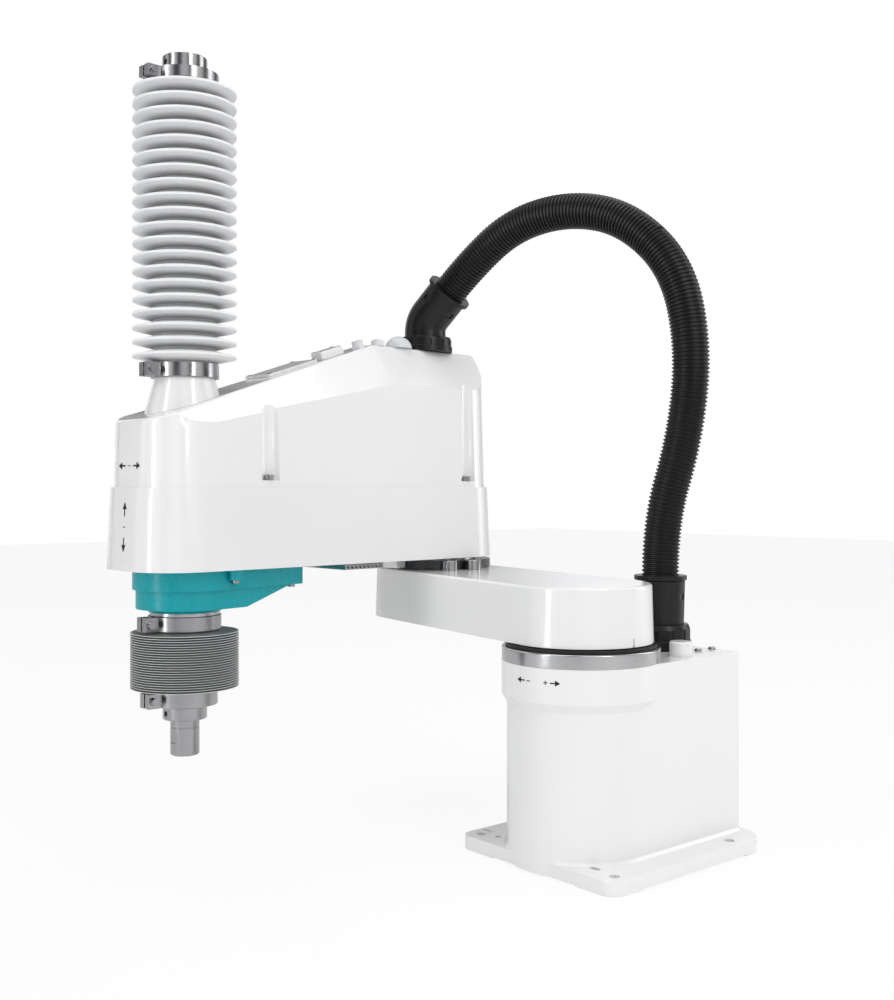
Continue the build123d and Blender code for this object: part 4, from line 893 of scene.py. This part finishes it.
class SCARA_OT_small_parts(bpy.types.Operator):
    """Dresses the small pieces and adds their screws"""

    bl_idname = "scara.small_parts"
    bl_label = "Small parts"

    def execute(self, context):
        fine_edge = context.scene.scara_sizes.edge * 0.3
        for node in (
            "power_inlet", "signal_inlet", "air_inlets", "base_screws", "cover_screws", "belt_cover_screws",
            "status_lamp", "button_bezel", "air_fitting", "brake_button",
        ):
            node_skin(node, fine_edge)
        slope = math.radians(roof_slope)
        normal = forearm_along * math.sin(slope) + Vector((0, 0, math.cos(slope)))
        along = forearm_along * math.cos(slope) - Vector((0, 0, math.sin(slope)))
        for name, node, length, width, radius, height in screw_groups:
            top = max(v.co.dot(normal) for v in nodes[node].data.vertices)
            low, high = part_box(node)
            middle = (low + high) / 2
            middle += normal * (top - middle.dot(normal))
            corners = [
                middle + along * (x * length / 2) + forearm_across * (y * width / 2)
                for x in (-1, 1)
                for y in (-1, 1)
            ]
            screws(name, corners, normal, radius, height, "machined_steel", "forearm")
        for node, obj in nodes.items():
            if not obj.hide_render:
                obj.data.materials.clear()
                obj.data.materials.append(finish_of(slot_of[node]))
        return {"FINISHED"}


def soft_box(name, place, target, size, power):
    """A large soft lamp that faces a point."""
    lamp = bpy.data.lights.new(name, "AREA")
    lamp.shape = "RECTANGLE"
    lamp.size = size[0]
    lamp.size_y = size[1]
    lamp.energy = power
    holder = bpy.data.objects.new(name, lamp)
    holder.location = place
    way = Vector(target) - Vector(place)
    holder.rotation_euler = way.to_track_quat("-Z", "Y").to_euler()
    bpy.context.scene.collection.objects.link(holder)


def studio_level(tree, low, high):
    """Level of the surround by direction: soft upright bands, as of lamps and dark curtains."""
    coordinates = tree.nodes.new("ShaderNodeTexCoord")
    split = tree.nodes.new("ShaderNodeSeparateXYZ")
    tree.links.new(coordinates.outputs["Generated"], split.inputs["Vector"])
    azimuth = math_node(tree, "ARCTAN2", split.outputs["Y"], split.outputs["X"])
    wave = math_node(tree, "SINE", math_node(tree, "MULTIPLY_ADD", azimuth, 7.0, 0.6))
    level = tree.nodes.new("ShaderNodeMapRange")
    level.interpolation_type = "SMOOTHSTEP"
    level.inputs["From Min"].default_value = -0.7
    level.inputs["From Max"].default_value = 0.6
    level.inputs["To Min"].default_value = low
    level.inputs["To Max"].default_value = high
    tree.links.new(wave, level.inputs["Value"])
    return level.outputs["Result"]


def seen_directly(tree):
    """One for rays from the camera, or through glass, and zero for all others."""
    paths = tree.nodes.new("ShaderNodeLightPath")
    return math_node(
        tree, "MAXIMUM", paths.outputs["Is Camera Ray"], paths.outputs["Is Transmission Ray"]
    )


def mixed(tree, factor, first, second):
    """Mixes two shaders by a socket or a number."""
    mix = tree.nodes.new("ShaderNodeMixShader")
    if isinstance(factor, float):
        mix.inputs[0].default_value = factor
    else:
        tree.links.new(factor, mix.inputs[0])
    tree.links.new(first, mix.inputs[1])
    tree.links.new(second, mix.inputs[2])
    return mix.outputs[0]


def studio_world():
    """A world that the camera sees as white, and that lights and mirrors as a banded studio."""
    world = bpy.data.worlds.new("surround")
    world.use_nodes = True
    tree = world.node_tree
    plain = tree.nodes["Background"]
    plain.inputs["Color"].default_value = (0.97, 0.98, 1.0, 1)
    tree.links.new(studio_level(tree, 0.1, 0.95), plain.inputs["Strength"])
    white = tree.nodes.new("ShaderNodeBackground")
    white.inputs["Color"].default_value = (1, 1, 1, 1)
    shown = mixed(tree, seen_directly(tree), plain.outputs[0], white.outputs[0])
    tree.links.new(shown, tree.nodes["World Output"].inputs["Surface"])
    return world


def pale_floor():
    """A wide floor that the camera sees as nearly white, with soft shadows."""
    shape = bmesh.new()
    bmesh.ops.create_grid(shape, x_segments=1, y_segments=1, size=6)
    mesh = bpy.data.meshes.new("floor")
    shape.to_mesh(mesh)
    shape.free()
    floor = bpy.data.objects.new("floor", mesh)
    floor.location.z = -0.0005
    material = bpy.data.materials.new("floor")
    material.use_nodes = True
    tree = material.node_tree
    shader = tree.nodes["Principled BSDF"]
    shader.inputs["Roughness"].default_value = 0.9
    shader.inputs["Base Color"].default_value = (0.9, 0.9, 0.9, 1)
    glow = tree.nodes.new("ShaderNodeEmission")
    glow.inputs["Strength"].default_value = 1.0
    pale = mixed(tree, 0.88, shader.outputs[0], glow.outputs[0])
    shown = mixed(tree, seen_directly(tree), shader.outputs[0], pale)
    tree.links.new(shown, tree.nodes["Material Output"].inputs["Surface"])
    mesh.materials.append(material)
    return floor


# Soft lamps: name, place, size and power
lamps = (
    ("key", (0.2, 1.6, 1.3), (0.35, 1.8), 13),
    ("side", (1.9, -0.3, 0.7), (0.25, 1.8), 9),
    ("top", (0.1, -0.2, 2.2), (1.6, 1.6), 12),
    ("back", (-1.5, 0.6, 0.9), (0.6, 1.6), 6),
)
lit_point = (0.05, -0.1, 0.3)


class SCARA_OT_stage(bpy.types.Operator):
    """Sets the floor, the lamps and the photograph's camera"""

    bl_idname = "scara.stage"
    bl_label = "Stage"

    def execute(self, context):
        context.scene.world = studio_world()
        floor = pale_floor()
        context.scene.collection.objects.link(floor)
        for name, place, size, power in lamps:
            soft_box(name, place, lit_point, size, power)

        camera = bpy.data.cameras.new("photograph")
        camera.sensor_fit = "VERTICAL"
        camera.sensor_height = 36
        camera.lens = camera_lens
        camera.shift_y = camera_shift
        camera.clip_start = 0.01
        holder = bpy.data.objects.new("photograph", camera)
        holder.location = camera_place
        holder.rotation_euler = (math.pi / 2, 0, camera_heading - math.pi / 2)
        context.scene.collection.objects.link(holder)
        context.scene.camera = holder
        context.scene.view_settings.view_transform = "Standard"
        return {"FINISHED"}


class SCARA_PT_sidebar(bpy.types.Panel):
    """Lists the steps that dress the robot"""

    bl_idname = "SCARA_PT_sidebar"
    bl_label = "Scara robot"
    bl_space_type = "VIEW_3D"
    bl_region_type = "UI"
    bl_category = "Scara"

    def draw(self, context):
        for group in (context.scene.scara_finish, context.scene.scara_sizes):
            for name in group.__annotations__:
                self.layout.prop(group, name)
        for step in steps:
            self.layout.operator(step.bl_idname)


steps = (
    SCARA_OT_castings,
    SCARA_OT_drive_rings,
    SCARA_OT_bellows,
    SCARA_OT_conduit,
    SCARA_OT_marks,
    SCARA_OT_small_parts,
    SCARA_OT_stage,
)
classes = (ScaraFinish, ScaraSizes, *steps, SCARA_PT_sidebar)


def register():
    for item in classes:
        bpy.utils.register_class(item)
    bpy.types.Scene.scara_finish = PointerProperty(type=ScaraFinish)
    bpy.types.Scene.scara_sizes = PointerProperty(type=ScaraSizes)


def unregister():
    del bpy.types.Scene.scara_sizes
    del bpy.types.Scene.scara_finish
    for item in reversed(classes):
        bpy.utils.unregister_class(item)


def main():
    register()
    bpy.ops.scara.castings()
    bpy.ops.scara.drive_rings()
    bpy.ops.scara.bellows()
    bpy.ops.scara.conduit()
    bpy.ops.scara.marks()
    bpy.ops.scara.small_parts()
    bpy.ops.scara.stage()


if __name__ == "__main__":
    main()
